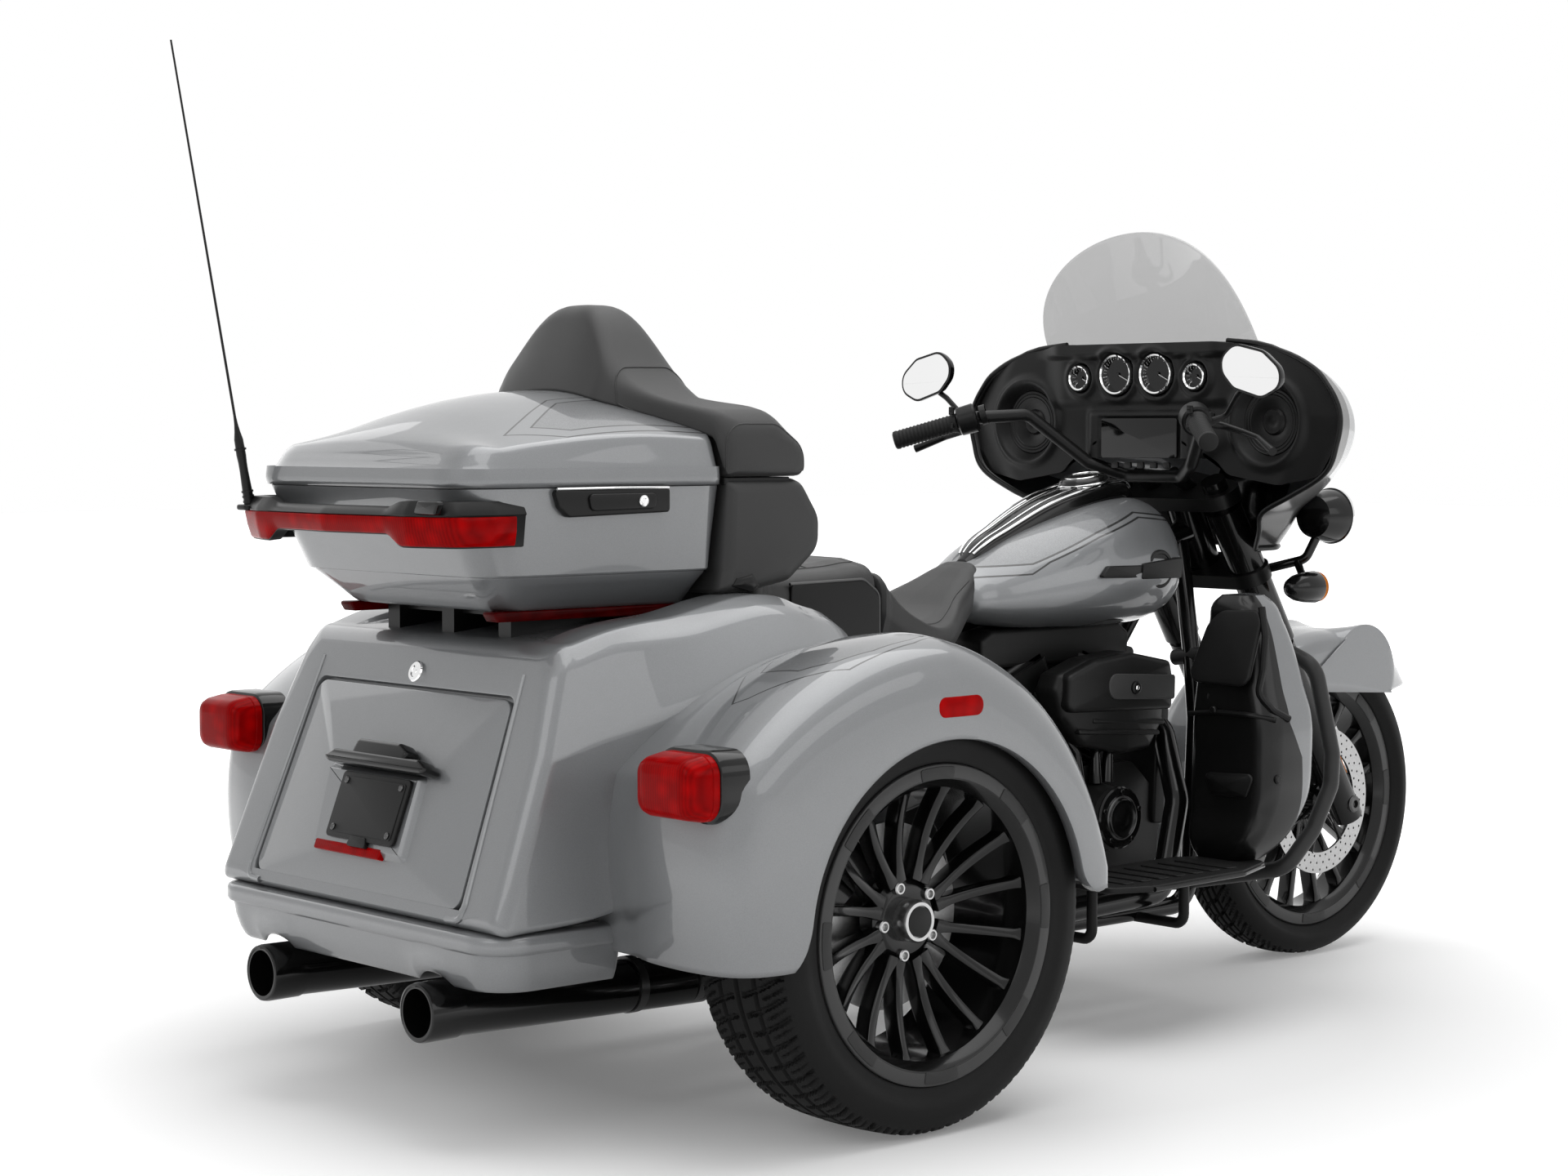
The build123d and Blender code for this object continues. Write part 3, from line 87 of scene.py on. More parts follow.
def rounded(points, radii, steps=5, closed=True):
    # Each corner of an outline becomes an arc, drawn as a cubic Bezier whose handles reach
    # 4/3 tan(turn / 4) / tan(turn / 2) of the way to the corner. Works on stacks of outlines.
    points = np.asarray(points, float)
    if closed:
        corner, last, after = points, np.roll(points, 1, -2), np.roll(points, -1, -2)
    else:
        corner, last, after = points[..., 1:-1, :], points[..., :-2, :], points[..., 2:, :]
    back, ahead = last - corner, after - corner
    backLength = np.maximum(np.linalg.norm(back, axis=-1, keepdims=True), 1e-9)
    aheadLength = np.maximum(np.linalg.norm(ahead, axis=-1, keepdims=True), 1e-9)
    back, ahead = back / backLength, ahead / aheadLength
    turn = np.arccos(np.clip(-(back * ahead).sum(-1, keepdims=True), -0.999, 0.9999999))
    radius = np.broadcast_to(np.asarray(radii, float), corner.shape[:-1])[..., None]
    cut = np.minimum(radius * np.tan(turn / 2), 0.49 * np.minimum(backLength, aheadLength))
    start, end = (corner + back * cut)[..., None, :], (corner + ahead * cut)[..., None, :]
    corner = corner[..., None, :]
    handle = (4 / 3 * np.tan(turn / 4) / np.tan(turn / 2))[..., None]
    t = np.linspace(0, 1, steps + 1)[:, None]
    arc = ((1 - t)**3 * start + 3 * (1 - t)**2 * t * (start + handle * (corner - start))
           + 3 * (1 - t) * t**2 * (end + handle * (corner - end)) + t**3 * end)
    arc = arc.reshape(arc.shape[:-3] + (-1, arc.shape[-1]))
    return arc if closed else np.concatenate([points[..., :1, :], arc, points[..., -1:, :]], -2)


def sampled(table, count):
    # A table's key at even steps and at its own rows, and its other columns there.
    keys, *columns = np.array(table, float).T
    at = np.unique(np.concatenate([np.linspace(keys[0], keys[-1], count), keys]))
    return at, *smooth(keys, np.stack(columns, -1), at).T


def box(left, low, right, high):
    return [(left, low), (right, low), (right, high), (left, high)]


def unit(directions):
    directions = np.asarray(directions, float)
    return directions / np.maximum(np.linalg.norm(directions, axis=-1, keepdims=True), 1e-9)


def travelled(line):
    # The distance along a line from its start to each point.
    return np.concatenate([[0], np.cumsum(np.linalg.norm(np.diff(line, axis=0), axis=1))])


def evenly(line, count, closed=False):
    # The same line with its points a steady distance apart.
    line = np.asarray(line, float)
    if closed:
        line = np.concatenate([line, line[:1]])
    run = travelled(line)
    keep = np.concatenate([[True], np.diff(run) > 1e-9])
    at = np.linspace(0, run[-1], count + 1)[:-1] if closed else np.linspace(0, run[-1], count)
    return straight(run[keep], line[keep], at)


def arcThrough(a, b, c, t):
    # The circle through three points of a plane, written as complex numbers, from a by b to c.
    ratio = (c - a) / (b - a)
    middle = a - (a - b) * (ratio - abs(ratio)**2) / 2j / ratio.imag
    swing = np.angle((b - middle) / (a - middle)) + np.angle((c - middle) / (b - middle))
    return middle + (a - middle) * np.exp(1j * swing * t)


def flat(line):
    # Complex numbers as (ahead, up).
    return np.stack([line.real, line.imag], -1)


def sectionRows(corners):
    # Each corner's x, y and z along a body, turned into one outline for each station.
    return np.stack([np.stack(corner, -1) for corner in corners], 1)


def basis(axis):
    # The axis at length 1, and two directions square to it.
    axis = unit(axis)
    side = unit(np.cross(axis, (0, 0, 1) if abs(axis[2]) < 0.9 else (1, 0, 0)))
    return axis, side, np.cross(axis, side)


# Shapes: each gives (points, faces)

def grid(points, around=True, along=False, caps=(False, False)):
    # A sheet of points (rows, columns, 3): each face joins four neighbours, and a cap is one face.
    rows, columns = points.shape[:2]
    index = np.arange(rows * columns).reshape(rows, columns)
    ends = [index[0][::-1], index[-1]]
    if around:
        index = np.concatenate([index, index[:, :1]], 1)
    if along:
        index = np.concatenate([index, index[:1]])
    quads = np.stack([index[:-1, :-1], index[:-1, 1:], index[1:, 1:], index[1:, :-1]], -1)
    faces = quads.reshape(-1, 4).tolist() + [end.tolist() for end, on in zip(ends, caps) if on]
    return points.reshape(-1, 3), faces


def turned(profile, centre, axis=(0, 1, 0), steps=64, loop=False):
    # Points (distance along the axis, radius) swung round it.
    axis, side, up = basis(axis)
    profile = np.asarray(profile, float)
    turn = np.linspace(0, 2 * pi, steps, endpoint=False)
    ring = np.cos(turn)[:, None] * side + np.sin(turn)[:, None] * up
    points = (np.asarray(centre, float) + profile[:, 0, None, None] * axis
              + profile[:, 1, None, None] * ring)
    return grid(points, along=loop)


def tube(line, radius, sides):
    # A ring of points carried along a line; radius is a number or (share of length, radius) rows.
    line = np.asarray(line, float)
    heading = unit(np.gradient(line, axis=0))
    crosses = [np.cross(heading, ref) for ref in ((0, 0, 1), (0, 1, 0), (1, 0, 0))]
    side = unit(max(crosses, key=lambda c: np.linalg.norm(c, axis=1).min()))
    up = np.cross(heading, side)
    if not np.isscalar(radius):
        run, (shares, sizes) = travelled(line), np.transpose(radius)
        radius = np.interp(run / run[-1], shares, sizes)[:, None, None]
    turn = np.linspace(0, 2 * pi, sides, endpoint=False)[:, None]
    ring = np.cos(turn) * side[:, None] + np.sin(turn) * up[:, None]
    return grid(line[:, None] + radius * ring, caps=(True, True))


def bar(points, radius, bend, sides, steps=6):
    # A round bar along straight runs with bends between them.
    return tube(rounded(points, bend, steps, closed=False), radius, sides)


def drawnIn(loop, by):
    # A flat closed outline (points, 2) moved inwards along its normals.
    ahead = np.roll(loop, -1, 0) - np.roll(loop, 1, 0)
    normal = unit(np.stack([-ahead[:, 1], ahead[:, 0]], 1))
    area = (loop[:, 0] * np.roll(loop[:, 1], -1) - np.roll(loop[:, 0], -1) * loop[:, 1]).sum()
    return loop + normal * by * np.sign(area)


def slab(outline, radii, origin, across, up, depth, edge=2, steps=6, crown=0):
    # A flat outline carried through its depth along across x up, with quarter-round edges on
    # both faces; crown lifts the far face towards its middle.
    loop = rounded(outline, radii, steps)
    across, up = np.asarray(across, float), np.asarray(up, float)
    turn = np.linspace(0, pi / 2, 4)
    rows = [(edge * (1 - np.sin(a)), edge * (1 - np.cos(a))) for a in turn]
    rows += [(edge * (1 - np.cos(a)), depth - edge * (1 - np.sin(a))) for a in turn]
    rings = np.stack([np.insert(drawnIn(loop, inset), 2, height, 1) for inset, height in rows])
    if crown:
        middle = rings[-1].mean(0)
        share = np.linspace(1, 0, 9)[1:, None, None]
        top = middle + (rings[-1] - middle) * share
        top[..., 2] = depth + crown * (1 - share[..., 0]**2)
        rings = np.concatenate([rings, top])
    points = (np.asarray(origin, float) + rings[..., :1] * across + rings[..., 1:2] * up
              + rings[..., 2:] * np.cross(across, up))
    return grid(points, caps=(True, not crown))


def mirrored(shape):
    # The same shape on the other side of the vehicle, its faces turned back outwards.
    points, faces = shape
    return points * (1, -1, 1), [face[::-1] for face in faces]


def bothSides(*shapes):
    return [s for shape in shapes for s in (shape, mirrored(shape))]


def onSide(side, *shapes):
    # Shapes drawn for the right side, or mirrored where side is 1.
    return [mirrored(shape) if side > 0 else shape for shape in shapes]


def stacked(loop, rows, x, y, z):
    # A loop across the vehicle at distances ahead of x, each drawn in by its inset.
    return np.stack([np.insert(drawnIn(loop, inset) + (y, z), 0, x + ahead, 1)
                     for ahead, inset in rows])


def placed(name, data):
    made = bpy.data.objects.new(name, data)
    bpy.context.scene.collection.objects.link(made)
    return made


sizes = {"sharpAngle": 34, "mergeDistance": 2e-5}


def piece(name, shapes, look, body, replaces=(), wall=0, sharp=sizes["sharpAngle"],
          recalculate=True, offset=-1):
    # Shapes joined into one mesh in metres, seams merged and faces turned outwards. A wall
    # grows inwards from the sheet at offset -1 and to both sides at 0.
    mesh = bpy.data.meshes.new(name)
    points, faces, start = [], [], 0
    for some, joined in shapes:
        points.append(some)
        faces += [[number + start for number in face] for face in joined]
        start += len(some)
    metres = (np.concatenate(points) + (axleX, 0, 0)) * 0.001
    mesh.from_pydata(metres.tolist(), [], faces)
    work = bmesh.new()
    work.from_mesh(mesh)
    bmesh.ops.remove_doubles(work, verts=work.verts, dist=sizes["mergeDistance"])
    if recalculate:
        bmesh.ops.recalc_face_normals(work, faces=work.faces)
    work.to_mesh(mesh)
    work.free()
    mesh.polygons.foreach_set("use_smooth", np.ones(len(mesh.polygons), bool))
    mesh.set_sharp_from_angle(angle=radians(sharp))
    mesh.materials.append(looks[look])
    made = placed(name, mesh)
    if wall:
        skin = made.modifiers.new("wall", "SOLIDIFY")
        skin.thickness, skin.offset = wall * 0.001, offset
    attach(made, body)
    if replaces:
        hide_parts(*([replaces] if isinstance(replaces, str) else replaces))
    return made


# Materials

class Wire:
    # One socket of a node tree, so that shader maths reads as arithmetic.
    def __init__(self, tree, socket=None):
        self.tree, self.socket = tree, socket

    def node(self, kind, settings=None, inputs=None, out=0):
        made = self.tree.nodes.new(kind)
        for key, value in (settings or {}).items():
            setattr(made, key, value)
        for key, value in (inputs or {}).items():
            if isinstance(value, Wire):
                self.tree.links.new(value.socket, made.inputs[key])
            else:
                made.inputs[key].default_value = value
        return Wire(self.tree, made.outputs[out])

    def maths(self, operation, *others):
        values = dict(enumerate((self, *others)))
        return self.node("ShaderNodeMath", {"operation": operation}, values)

    def __add__(self, other):
        return self.maths("ADD", other)

    def __sub__(self, other):
        return self.maths("SUBTRACT", other)

    def __mul__(self, other):
        return self.maths("MULTIPLY", other)

    def __truediv__(self, other):
        return self.maths("DIVIDE", other)

    def __lt__(self, other):
        return self.maths("LESS_THAN", other)

    def __gt__(self, other):
        return self.maths("GREATER_THAN", other)

    def below(self, other):
        return self.maths("MINIMUM", other)

    def above(self, other):
        return self.maths("MAXIMUM", other)

    def __rsub__(self, other):
        return self.node("ShaderNodeMath", {"operation": "SUBTRACT"}, {0: other, 1: self})

    def __abs__(self):
        return self.maths("ABSOLUTE")

    def scaled(self, low, high):
        # 0 to 1 becomes low to high
        return self * (high - low) + low

    def mixed(self, first, second):
        # Two colours mixed by this value.
        return self.node("ShaderNodeMix", {"data_type": "RGBA"},
                         {0: self, 6: first, 7: second}, out=2)

    def noise(self, scale, detail, rough=0.5):
        return self.node("ShaderNodeTexNoise", inputs={
            "Vector": self.place(), "Scale": scale, "Detail": detail, "Roughness": rough})

    def tinted(self, colour):
        # A colour made brighter or darker by this value.
        return self.node("ShaderNodeCombineColor",
                         inputs={n: self * colour[n] for n in range(3)})

    def place(self):
        return self.node("ShaderNodeTexCoord", out="Object")

    def cells(self, scale, feature="F1", out=0):
        return self.node("ShaderNodeTexVoronoi", {"feature": feature},
                         {"Vector": self.place(), "Scale": scale}, out)

    def xyz(self):
        place = self.place()
        return [self.node("ShaderNodeSeparateXYZ", inputs={0: place}, out=n) for n in range(3)]

    def bump(self, strength, distance):
        return self.node("ShaderNodeBump", inputs={"Height": self, "Strength": strength,
                                                   "Distance": distance})


def grey(level, tint=(1, 1, 1)):
    return tuple(level * t for t in tint) + (1,)


def material(name, build):
    made = bpy.data.materials.new(name)
    made.use_nodes = True
    tree = made.node_tree
    shader = tree.nodes["Principled BSDF"]
    for key, value in build(Wire(tree)).items():
        if isinstance(value, Wire):
            tree.links.new(value.socket, shader.inputs[key])
        else:
            shader.inputs[key].default_value = value
    return made


paint = {
    "colour": grey(0.205, (0.97, 1.0, 1.03)), "flake": 0.07, "flakeScale": 1500,
    "metal": 0.46, "rough": 0.46, "coat": 0.9, "coatRough": 0.04,
    "panelColour": grey(0.17, (0.97, 1.0, 1.03)), "panelFlake": (0.72, 1.22),
    "line": grey(0.012), "lineWidth": 0.0015,
}


def silver(w, panel=None, line=None):
    # Metal flakes lighten and darken the base cell by cell; panel gives a distance in metres
    # to the edge of a darker panel. A thin dark line follows that edge, or runs where the
    # distance that line gives is 0.
    cell = w.cells(paint["flakeScale"], out="Color")
    tone = w.node("ShaderNodeSeparateColor", inputs={0: cell})
    broad = w.noise(3, 2)
    light = tone.scaled(1 - paint["flake"], 1 + paint["flake"]) * broad.scaled(0.97, 1.03)
    colour = light.tinted(paint["colour"])
    if panel:
        inside = tone.scaled(*paint["panelFlake"]).tinted(paint["panelColour"])
        edge = panel(w)
        colour = (edge < 0).mixed(colour, inside)
        thin = abs(edge).below(abs(line(w))) if line else abs(edge)
        colour = (thin < paint["lineWidth"]).mixed(colour, paint["line"])
    return {"Base Color": colour, "Metallic": paint["metal"],
            "Roughness": w.noise(40, 2).scaled(paint["rough"] - 0.03, paint["rough"] + 0.03),
            "Coat Weight": paint["coat"], "Coat Roughness": paint["coatRough"]}


def skinned(seam, blend):
    # Silver ahead of a seam and black behind it.
    def build(w):
        x, _, z = w.xyz()
        ahead = x > seam(z)
        out = silver(w)
        black = w.noise(9, 3).mixed(grey(0.004), grey(0.007))
        return {"Base Color": ahead.mixed(black, out["Base Color"]),
                "Metallic": ahead * paint["metal"],
                "Roughness": ahead.scaled(blend, paint["rough"]),
                "Coat Weight": ahead.scaled(0.15, paint["coat"]), "Specular IOR Level": 0.25,
                "Coat Roughness": paint["coatRough"]}
    return build


def blackGloss(level, rough):
    def build(w):
        smear = w.noise(22, 4)
        return {"Base Color": smear.mixed(grey(level), grey(level * 1.6)),
                "Roughness": smear.scaled(rough * 0.8, rough * 1.25),
                "Coat Weight": 0.22, "Coat Roughness": 0.06, "Specular IOR Level": 0.2,
                "Normal": w.noise(160, 2).bump(0.03, 0.0004)}
    return build


def bent(w, corners):
    # The height above a line bent at (ahead, up) corners in mm, level beyond its two ends.
    x, _, z = w.xyz()
    line = corners[0][1] * 0.001
    for (xa, za), (xb, zb) in zip(corners, corners[1:]):
        part = (x - (xa + axleX) * 0.001).above(0).below((xb - xa) * 0.001)
        line = part * ((zb - za) / (xb - xa)) + line
    return z - line


def blackGrain(level, rough, scale, depth, distance):
    # A moulded or powder-coated black with a fine pebble.
    def build(w):
        grain, patch = w.noise(scale, 3, 0.6), w.noise(9, 3)
        return {"Base Color": patch.mixed(grey(level * 0.8), grey(level * 1.3)),
                "Roughness": (grain * 0.12 + patch * 0.06) + (rough - 0.09),
                "Specular IOR Level": 0.2,
                "Normal": grain.bump(depth, distance)}
    return build


def vinyl(w):
    # Leather grain: the edges of small cells, broken up by noise.
    cell = w.cells(620, "DISTANCE_TO_EDGE")
    fold = w.noise(14, 3)
    grain = (cell * 3).below(0.5) + w.noise(1500, 2) * 0.15
    return {"Base Color": fold.mixed(grey(0.014), grey(0.022)), "Specular IOR Level": 0.4,
            "Roughness": fold.scaled(0.42, 0.52), "Sheen Weight": 0.12,
            "Sheen Roughness": 0.4, "Normal": grain.bump(0.28, 0.0006)}


def rubber(w):
    dust = w.noise(16, 4)
    return {"Base Color": dust.mixed(grey(0.0045), grey(0.009)), "Specular IOR Level": 0.18,
            "Roughness": dust.scaled(0.55, 0.75), "Normal": w.noise(700, 3).bump(0.2, 0.0005)}


def plated(level, rough, brushed):
    def build(w):
        mark = w.noise(60, 3)
        return {"Base Color": mark.mixed(grey(level * 0.92), grey(level)), "Metallic": 1.0,
                "Roughness": mark.scaled(rough * 0.8, rough * 1.3),
                "Normal": w.noise(500, 3).bump(brushed, 0.0003)}
    return build


def lens(colour, dark, glow):
    # A moulded lens: vertical flutes and cells behind a clear gloss skin.
    # The emission at glow strength is a painted glow: the lenses, and the reflectors that use
    # these looks, shine though no lamp is lit.
    def build(w):
        flute = w.node("ShaderNodeTexWave", {"wave_type": "BANDS", "bands_direction": "Y"}, {
            "Vector": w.place(), "Scale": 60, "Distortion": 0.6, "Detail": 1})
        depth = (w.cells(38) * 1.6).below(1)
        tone = flute * 0.35 + depth * 0.65
        return {"Base Color": tone.mixed(colour, dark), "Roughness": 0.2,
                "Specular IOR Level": 0.03, "Coat Weight": 0.03, "Coat Roughness": 0.03,
                "Emission Color": tone.mixed(colour, dark), "Emission Strength": glow,
                "Normal": flute.bump(0.12, 0.0008)}
    return build


def discSteel(w):
    mark = w.noise(230, 3)
    return {"Base Color": mark.mixed(grey(0.30), grey(0.46)), "Metallic": 1.0,
            "Roughness": mark.scaled(0.28, 0.42), "Normal": mark.bump(0.08, 0.0003)}


def smoked(w):
    return {"Base Color": w.noise(3, 2).mixed(grey(0.26), grey(0.30)), "Roughness": 0.05,
            "Alpha": w.noise(4, 2).scaled(0.34, 0.36), "Coat Weight": 0.5,
            "Coat Roughness": 0.02}


def mirrorGlass(w):
    return {"Base Color": w.noise(5, 2).mixed(grey(0.86), grey(0.9)), "Metallic": 1.0,
            "Roughness": 0.03}


def clearLens(w):
    return {"Base Color": w.noise(5, 2).mixed(grey(0.75), grey(0.85)), "Roughness": 0.04,
            "Alpha": 0.35, "Coat Weight": 1.0}


looks = {
    # blackGloss takes a level and a roughness; blackGrain a level, a roughness, and the grain's
    # scale, depth and distance; plated a level, a roughness and how strongly it is brushed
    "silver": material("silverPaint", silver),
    "gloss": material("glossBlack", blackGloss(0.0035, 0.16)),
    "wheelBlack": material("wheelBlack", blackGloss(0.004, 0.2)),
    "satin": material("satinBlack", blackGrain(0.007, 0.34, 1400, 0.12, 0.0003)),
    "plastic": material("mouldedBlack", blackGrain(0.008, 0.45, 800, 0.3, 0.0005)),
    "engine": material("wrinkleBlack", blackGrain(0.009, 0.38, 520, 0.25, 0.0005)),
    "vinyl": material("seatVinyl", vinyl),
    "rubber": material("tyreRubber", rubber),
    "grip": material("gripRubber", blackGrain(0.012, 0.6, 600, 0.2, 0.0005)),
    "chrome": material("chrome", plated(0.82, 0.07, 0.0)),
    "alloy": material("bareAlloy", plated(0.5, 0.3, 0.1)),
    "darkSteel": material("darkSteel", plated(0.09, 0.32, 0.1)),
    "disc": material("discSteel", discSteel),
    "red": material("redLens", lens((0.42, 0.0004, 0.0008, 1), (0.20, 0.0, 0.0004, 1), 0.2)),
    "darkRed": material("darkRedLens", lens((0.10, 0.001, 0.002, 1), (0.04, 0, 0, 1), 0.05)),
    "amber": material("amberLens", lens((0.8, 0.25, 0.01, 1), (0.5, 0.13, 0.0, 1), 0.1)),
    "smoked": material("smokedScreen", smoked),
    "mirror": material("mirrorGlass", mirrorGlass),
    "clear": material("clearLens", clearLens),
    "dial": material("dialMark", lambda w: {
        "Base Color": w.noise(9, 2).mixed(grey(0.7), grey(0.8)), "Roughness": 0.5}),
    "screen": material("screenGlass", blackGloss(0.002, 0.06)),
    "insert": material("insertGrey", blackGrain(0.05, 0.4, 900, 0.15, 0.0004)),
    "lightGrey": material("guardGrey", blackGrain(0.035, 0.42, 900, 0.2, 0.0004)),
}
print("materials:", len(looks))


# Luggage body: shell, door, skirt and fenders

luggage = {
    # x at the foot, lean, half widths at foot, shoulder and top, heights of the same
    "sections": ((-636, 21, 389, 374, 326, 341, 592, 757),
                 (-470, 12, 397, 386, 334, 350, 622, 776),
                 (-300, 4, 428, 418, 332, 389, 664, 789),
                 (-5, 0, 429, 429, 326, 389, 712, 802),
                 (98, 0, 428, 424, 318, 389, 668, 745),
                 (129, 0, 414, 406, 296, 392, 640, 692)),
    "edge": 30, "wall": 8, "deckHalf": 246, "deckDrop": 12, "lean": 21,
    "corners": (0, 12, 85, 60, 16, 5, 5, 0), "rows": 40,
    "nose": ((60, 6), (26, 5), (8, 2)),             # inset and push of the rings in front
}
panelUp = np.array((sin(radians(luggage["lean"])), 0, cos(radians(luggage["lean"]))))
panelFoot = np.array((-636.0, 0, 340))
panelOut = np.cross(toRight, panelUp)
onDoor = (toRight, panelUp)

door = {
    "outline": ((-281, 30), (281, 30), (262, 356), (-262, 356)), "corner": 24,
    "thick": 14, "gap": 5, "seat": 36,
    "step": ((-128, 84), (120, 84), (112, 222), (-150, 222)), "stepHigh": 12,
    "stepCorner": 10,
    # the opening's edge: how far outside the gap, and how far out from the panel
    "frame": ((9, 0), (3, 0), (0.8, -1), (0, -3), (0, -15)),
    "frameCorners": (0, 20, 30, 30, 20, 5, 5, 0),
}


def wholeRing(half):
    # Half outlines (..., points, 3) from the bottom's middle up to the top's, made whole.
    other = half[..., -2:0:-1, :] * (1, -1, 1)
    return np.concatenate([half, other], -2)


def wholeRadii(radii):
    return (*radii, *radii[-2:0:-1])


def luggageRing(section, inset=0, drop=0, push=0):
    # The body's outline on a leaning plane: x = station + (z - foot) tan(lean).
    x, lean, foot, shoulder, top, footZ, shoulderZ, topZ = section
    foot, shoulder, top = foot - inset, shoulder - inset, top - inset
    footZ, topZ = footZ + inset, topZ - inset
    bend = ((shoulder + 2 * top) / 3 + 4, (shoulderZ + 4 * topZ) / 5)
    deck = luggage["deckHalf"] - 0.3 * inset
    half = np.array([(0, footZ), (foot, footZ), (shoulder, shoulderZ), bend, (top, topZ),
                     (deck + 9, topZ), (deck, topZ - drop), (0, topZ - drop)])
    ahead = x + push + (half[:, 1] - luggage["sections"][0][5]) * tan(radians(lean))
    return wholeRing(np.c_[ahead, half])


def onPanel(points, out=0):
    # (across, up) on the rear panel, and a distance out from it, as points.
    points = np.asarray(points, float)
    return (panelFoot + points[..., :1] * np.array(toRight) + points[..., 1:2] * panelUp
            + out * panelOut)


def panelRing(low, high, halfLow, halfHigh, out):
    # A trapezium on the panel with as many corners as the body's outline.
    rise = np.array((0, 0, 0.45, 0.8, 1, 1, 1, 1))
    wide = halfLow + (halfHigh - halfLow) * rise
    half = np.c_[-wide * (1, 1, 1, 1, 1, 0.86, 0.8, 0) * (0, 1, 1, 1, 1, 1, 1, 0),
                 low + (high - low) * rise]
    return wholeRing(onPanel(half, out))


def luggageShell():
    # Rings from the middle of the front, back along the outside, round the panel's edge,
    # into the door's seat and forward again inside the walls.
    table, edge, drop = luggage["sections"], luggage["edge"], luggage["deckDrop"]
    radii, wall = wholeRadii(luggage["corners"]), luggage["wall"]
    outer = [luggageRing(table[0], push=edge)] + [luggageRing(s, drop=drop) for s in table[1:]]
    stations = [s[0] + edge * (n == 0) for n, s in enumerate(table)]
    skin = smooth(stations, rounded(outer, radii),
                  np.linspace(stations[-1], stations[0], luggage["rows"]))
    nose = [luggageRing(table[-1], inset, drop, push) for inset, push in luggage["nose"]]
    turnIn = [luggageRing(table[0], edge * (1 - cos(a)), 0, edge * (1 - sin(a)))
              for a in np.linspace(0, pi / 2, 8)[1:]]
    gap, thick, seat = door["gap"], door["thick"], door["seat"]
    halfLow, halfHigh = door["outline"][1][0] + gap, door["outline"][2][0] + gap
    low, high = door["outline"][0][1] - gap, door["outline"][2][1] + gap
    opening = [panelRing(low - i, high + i, halfLow + i, halfHigh + i, out)
               for i, out in door["frame"]]
    opening += [panelRing(low + seat, high - 2 * gap - 13, halfLow - 18, halfHigh - 18, out)
                for out in (-thick - 1, -thick - 9)]
    inner = [luggageRing(s, wall, drop, -wall * (s is table[-1])) for s in table[1:]]
    rings = np.concatenate([rounded(nose, radii), skin, rounded(turnIn, radii), rounded(
        opening, wholeRadii(door["frameCorners"])), rounded(inner, radii)])
    return grid(rings, caps=(True, True))


piece("luggageBody", [luggageShell()], "silver", "chassis", "rear_body")

lock = {"at": (0, 383), "profile": ((-2, 0), (-2, 17), (4, 17), (6, 15), (6, 10), (4, 9),
                                    (4, 3), (5, 2), (5, 0))}
piece("doorLock", [turned(lock["profile"], onPanel(lock["at"]), panelOut, 40)], "chrome",
      "chassis")


def doorShape():
    # From the back round the edge to the face, then up the raised step in the middle.
    back, step = -door["thick"], door["stepHigh"]
    rows = [(door["outline"], door["corner"], i, out) for i, out in (
        (6, back), (1, back), (0, back + 1.5), (0, -3.5), (1, -1.2), (3.4, 0))]
    rows += [(door["step"], door["stepCorner"], i, out) for i, out in (
        (-3, 0), (0, 0.6), (2, 3), (9, step - 1.5), (11, step))]
    rings = [onPanel(drawnIn(rounded(loop, corner, 8), i), out) for loop, corner, i, out in rows]
    return grid(np.stack(rings), caps=(True, True))


piece("luggageDoor", [doorShape()], "silver", "luggage_door",
      "luggage_door")

plate = {"centre": (6, 157), "half": (92, 53), "out": 13, "boltIn": (18, 15), "rim": 8,
         "bolt": ((0, 0), (0, 5.5), (2, 5.5), (3.4, 3.5), (3.4, 0))}
px, pz = plate["centre"]
hw, hh = plate["half"]
rim = plate["rim"]
piece("plateHolder", [
    slab(box(px - hw, pz - hh, px + hw, pz + hh), 8, onPanel((0, 0), plate["out"]), *onDoor, 6,
         1.5),
    slab(box(px - hw + rim, pz - hh + rim, px + hw - rim, pz + hh - rim), 5,
         onPanel((0, 0), plate["out"] + 5), *onDoor, 2.4, 0.8),
    slab([(px - 26, pz - hh - 10), (px + 26, pz - hh - 10), (px + 20, pz - hh + 6),
          (px - 20, pz - hh + 6)], 4, onPanel((0, 0), plate["out"]), *onDoor, 8, 1)],
      "plastic", "luggage_door", "number_plate")
boltAcross, boltUp = hw - plate["boltIn"][0], hh - plate["boltIn"][1]
piece("plateBolts", [
    turned(plate["bolt"], onPanel((px + i * boltAcross, pz + j * boltUp), plate["out"] + 7),
           panelOut, 12) for i in (-1, 1) for j in (-1, 1)],
      "darkSteel", "luggage_door")
piece("doorReflector", [slab(box(-90, 74, 90, 90), 3, onPanel((-26, 8), 1), *onDoor, 12, 2)],
      "red", "luggage_door")
piece("doorGrip", [
    slab([(-134, 226), (-118, 219), (134, 219), (150, 226), (122, 240), (-108, 240)], 8,
         onPanel((0, 0), 2), *onDoor, 34, 5),
    slab([(-66, 232), (78, 232), (82, 250), (58, 262), (-56, 262)], 8, onPanel((0, 0), 1),
         *onDoor, 32, 6)], "gloss", "luggage_door")
bead = ((271, 396), (297, 42), (292, 19), (258, 17))      # across and up, beside the door
piece("panelBeads", [bar(onPanel(np.array(bead) * (side, 1), -2), 5.5, 24, 10)
                     for side in (-1, 1)], "silver", "chassis")

